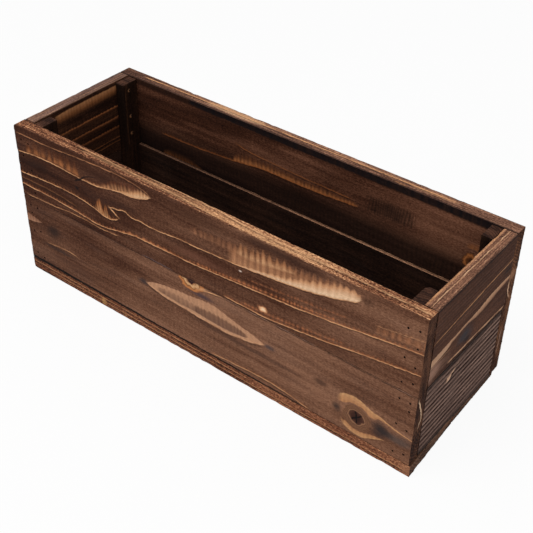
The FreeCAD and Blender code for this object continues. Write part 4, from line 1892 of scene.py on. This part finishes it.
@dataclass
class Posts(Assembly):
    """The post in each inner corner.

    Attributes:
        ledge: The block of the lower back board that the back posts pass over.
        step: The spacing of the mesh on a post.
        free_corner: Where the chamfer of the front right post is.
        chamfer: Its width.
        left_x: The free face of the left posts.
        right_x: The free face of the right posts.
        rows: The depths of the brads, in the front and the back posts.
        heights: The heights of the brads.
    """

    ledge: Notch = BACK_LEDGE
    step: tuple[float, float, float] = (1.5, 1.5, 3)
    free_corner: tuple[float, float] = (201, -40.5)
    chamfer: float = 3.5
    left_x: float = -199.5
    right_x: float = 201
    rows: tuple[float, float] = (-53.5, 52.25)
    heights: Sequence[float] = (36.1, 62.3, 110.3, 129.8, 158.6)

    def boards(self) -> Sequence[Board]:
        """The four posts."""
        sides = {None: POST_FACES, Side.LEFT: POST_SIDES, Side.RIGHT: POST_SIDES,
                 Side.TOP: POST_TOPS, Side.UNDER: POST_TOPS}
        wear = Wear(rings=0.25, chips=0.8, ends=0.5)
        x, y = self.free_corner
        planed = Trim((x + self.chamfer / 2, y - self.chamfer / 2, 0), (-1, 1, 0))
        made = []
        for where, row in zip(("front", "back"), self.rows):
            for end, face_x in (("left", self.left_x), ("right", self.right_x)):
                cuts: list[Hole | Notch] = [Hole((face_x, row, z), 0) for z in self.heights]
                if where == "back":
                    cuts.append(self.ledge)
                trims = (planed,) if (where, end) == ("front", "right") else ()
                made.append(Board(f"{where}_{end}_post", "burnt_post", 2, sides, self.step,
                                  arris=0.6, wear=wear, seed=20 + len(made), trims=trims,
                                  cuts=cuts))
        return made


@dataclass
class Brads:
    """The wire brads, whose CAD solids stay as they are.

    Attributes:
        bright: The nodes whose steel still shines.
        burnt: The nodes whose heads were burnt with the wood.
    """

    bright: Sequence[str] = ("post_brads",)
    burnt: Sequence[str] = ("front_brads", "back_brads", "bottom_brads")

    def dress(self, rack: Rack) -> None:
        """Gives the brads their steel."""
        for nodes, steel in ((self.bright, BRIGHT_STEEL), (self.burnt, DARK_STEEL)):
            for node in nodes:
                for slot in bpy.data.objects[node].material_slots:
                    slot.material = rack.get(steel)
                LOG.info("%s: %s", node, steel.name)


# ---------------------------------------------------------------------------
# Studio
# ---------------------------------------------------------------------------


WHITE = (1, 1, 1, 1)
FLOOR_GREY = (0.85, 0.85, 0.85, 1)
FLOOR_WHITENESS = 0.93  # the rest of what the camera sees is the floor's own shading


def towards(azimuth: float, elevation: float) -> Vector:
    """The direction from the object to a place round it.

    Args:
        azimuth: The direction round the object, in degrees, 0 at the front.
        elevation: The height over the horizon, in degrees.

    Returns:
        A vector of length 1.
    """
    around, up = math.radians(azimuth), math.radians(elevation)
    return Vector(
        (math.sin(around) * math.cos(up), -math.cos(around) * math.cos(up), math.sin(up))
    )


@dataclass
class Lamp:
    """A soft box light.

    Attributes:
        name: The light's name.
        azimuth: Its direction round the object, in degrees, 0 at the front.
        elevation: Its height over the horizon, in degrees.
        distance: How far it is.
        size: The length of its sides.
        power: Its power.
    """

    name: str
    azimuth: float
    elevation: float
    distance: float
    size: float
    power: float

    def place(self, target: Vector) -> None:
        """Puts it up, facing a target."""
        away = towards(self.azimuth, self.elevation)
        data = bpy.data.lights.new(self.name, "AREA")
        data.shape = "SQUARE"
        data.size = self.size
        data.energy = self.power
        lamp = bpy.data.objects.new(self.name, data)
        lamp.location = target + away * self.distance
        lamp.rotation_euler = away.to_track_quat("Z", "Y").to_euler()
        bpy.context.collection.objects.link(lamp)


@dataclass
class Studio:
    """The floor, the light and the camera.

    Attributes:
        azimuth: The camera's direction round the object, in degrees, 0 at the front.
        elevation: Its height over the horizon, in degrees.
        roll: Its turn about its own axis, in degrees.
        distance: Its distance from the target, in millimetres.
        target: The point it looks at.
        lens: Its focal length, on a sensor 36 mm wide.
        ambient: The strength of the light from all round.
        floor_size: The length of the floor's sides, in metres.
        lamps: The soft boxes.
    """

    azimuth: float = 37.427
    elevation: float = 37.462
    roll: float = 1.034
    distance: float = 918.86
    target: tuple[float, float, float] = (29.95, -16.07, 87.36)
    lens: float = 69.21
    ambient: float = 0.42
    floor_size: float = 8.0
    lamps: Sequence[Lamp] = (
        Lamp("key_light", -20.0, 62.0, 2.2, 1.3, 26.0),
        Lamp("fill_light", 75.0, 45.0, 2.4, 1.6, 9.0),
    )

    def build(self) -> None:
        """Puts up the studio."""
        self._camera()
        self._world()
        self._floor()
        for lamp in self.lamps:
            lamp.place(Vector(self.target) * MM)
        bpy.context.scene.view_settings.view_transform = "Standard"

    def _camera(self) -> None:
        """The camera of the photograph's view."""
        back, roll = towards(self.azimuth, self.elevation), math.radians(self.roll)
        right = Vector((0, 0, 1)).cross(back).normalized()
        top = back.cross(right)
        turned_right = right * math.cos(roll) + top * math.sin(roll)
        turned_top = top * math.cos(roll) - right * math.sin(roll)
        data = bpy.data.cameras.new("camera")
        data.lens = self.lens
        data.sensor_width = 36.0
        data.clip_end = 50.0
        camera = bpy.data.objects.new("camera", data)
        turn = Matrix((turned_right, turned_top, back)).transposed().to_4x4()
        place = (Vector(self.target) + back * self.distance) * MM
        camera.matrix_world = Matrix.Translation(place) @ turn
        bpy.context.collection.objects.link(camera)
        bpy.context.scene.camera = camera

    def _world(self) -> None:
        """White where it is seen, and a plain soft light elsewhere."""
        world = bpy.data.worlds.new("studio")
        tree = Tree(world)
        light = tree.node(
            "ShaderNodeBackground", {}, {"Color": WHITE, "Strength": self.ambient}
        )
        white = tree.node("ShaderNodeBackground", {}, {"Color": WHITE})
        either = tree.node(
            "ShaderNodeMixShader", {}, {0: tree.seen(), 1: light.outputs[0], 2: white.outputs[0]}
        )
        tree.node("ShaderNodeOutputWorld", {}, {"Surface": either.outputs[0]})
        bpy.context.scene.world = world

    def _floor(self) -> None:
        """A white floor that keeps a little of the object's shadow."""
        bpy.ops.object.select_all(action="DESELECT")
        bpy.ops.mesh.primitive_plane_add(size=self.floor_size)
        floor = bpy.context.object
        floor.name = "studio_floor"
        material = bpy.data.materials.new("studio_floor")
        tree = Tree(material)
        matt = tree.node("ShaderNodeBsdfDiffuse", {}, {"Color": FLOOR_GREY})
        white = tree.node("ShaderNodeEmission", {}, {"Color": WHITE})
        share = tree.seen() * FLOOR_WHITENESS
        either = tree.node(
            "ShaderNodeMixShader", {}, {0: share, 1: matt.outputs[0], 2: white.outputs[0]}
        )
        tree.node("ShaderNodeOutputMaterial", {}, {"Surface": either.outputs[0]})
        floor.data.materials.append(material)


def main() -> None:
    """Builds the planter and its studio."""
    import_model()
    rack = Rack()
    Studio().build()
    for assembly in (LongSides(), Ends(), Bottom(), Posts()):
        assembly.build(rack)
    Brads().dress(rack)


if __name__ == "__main__":
    logging.basicConfig(level=logging.INFO, format="%(name)s %(message)s")
    main()
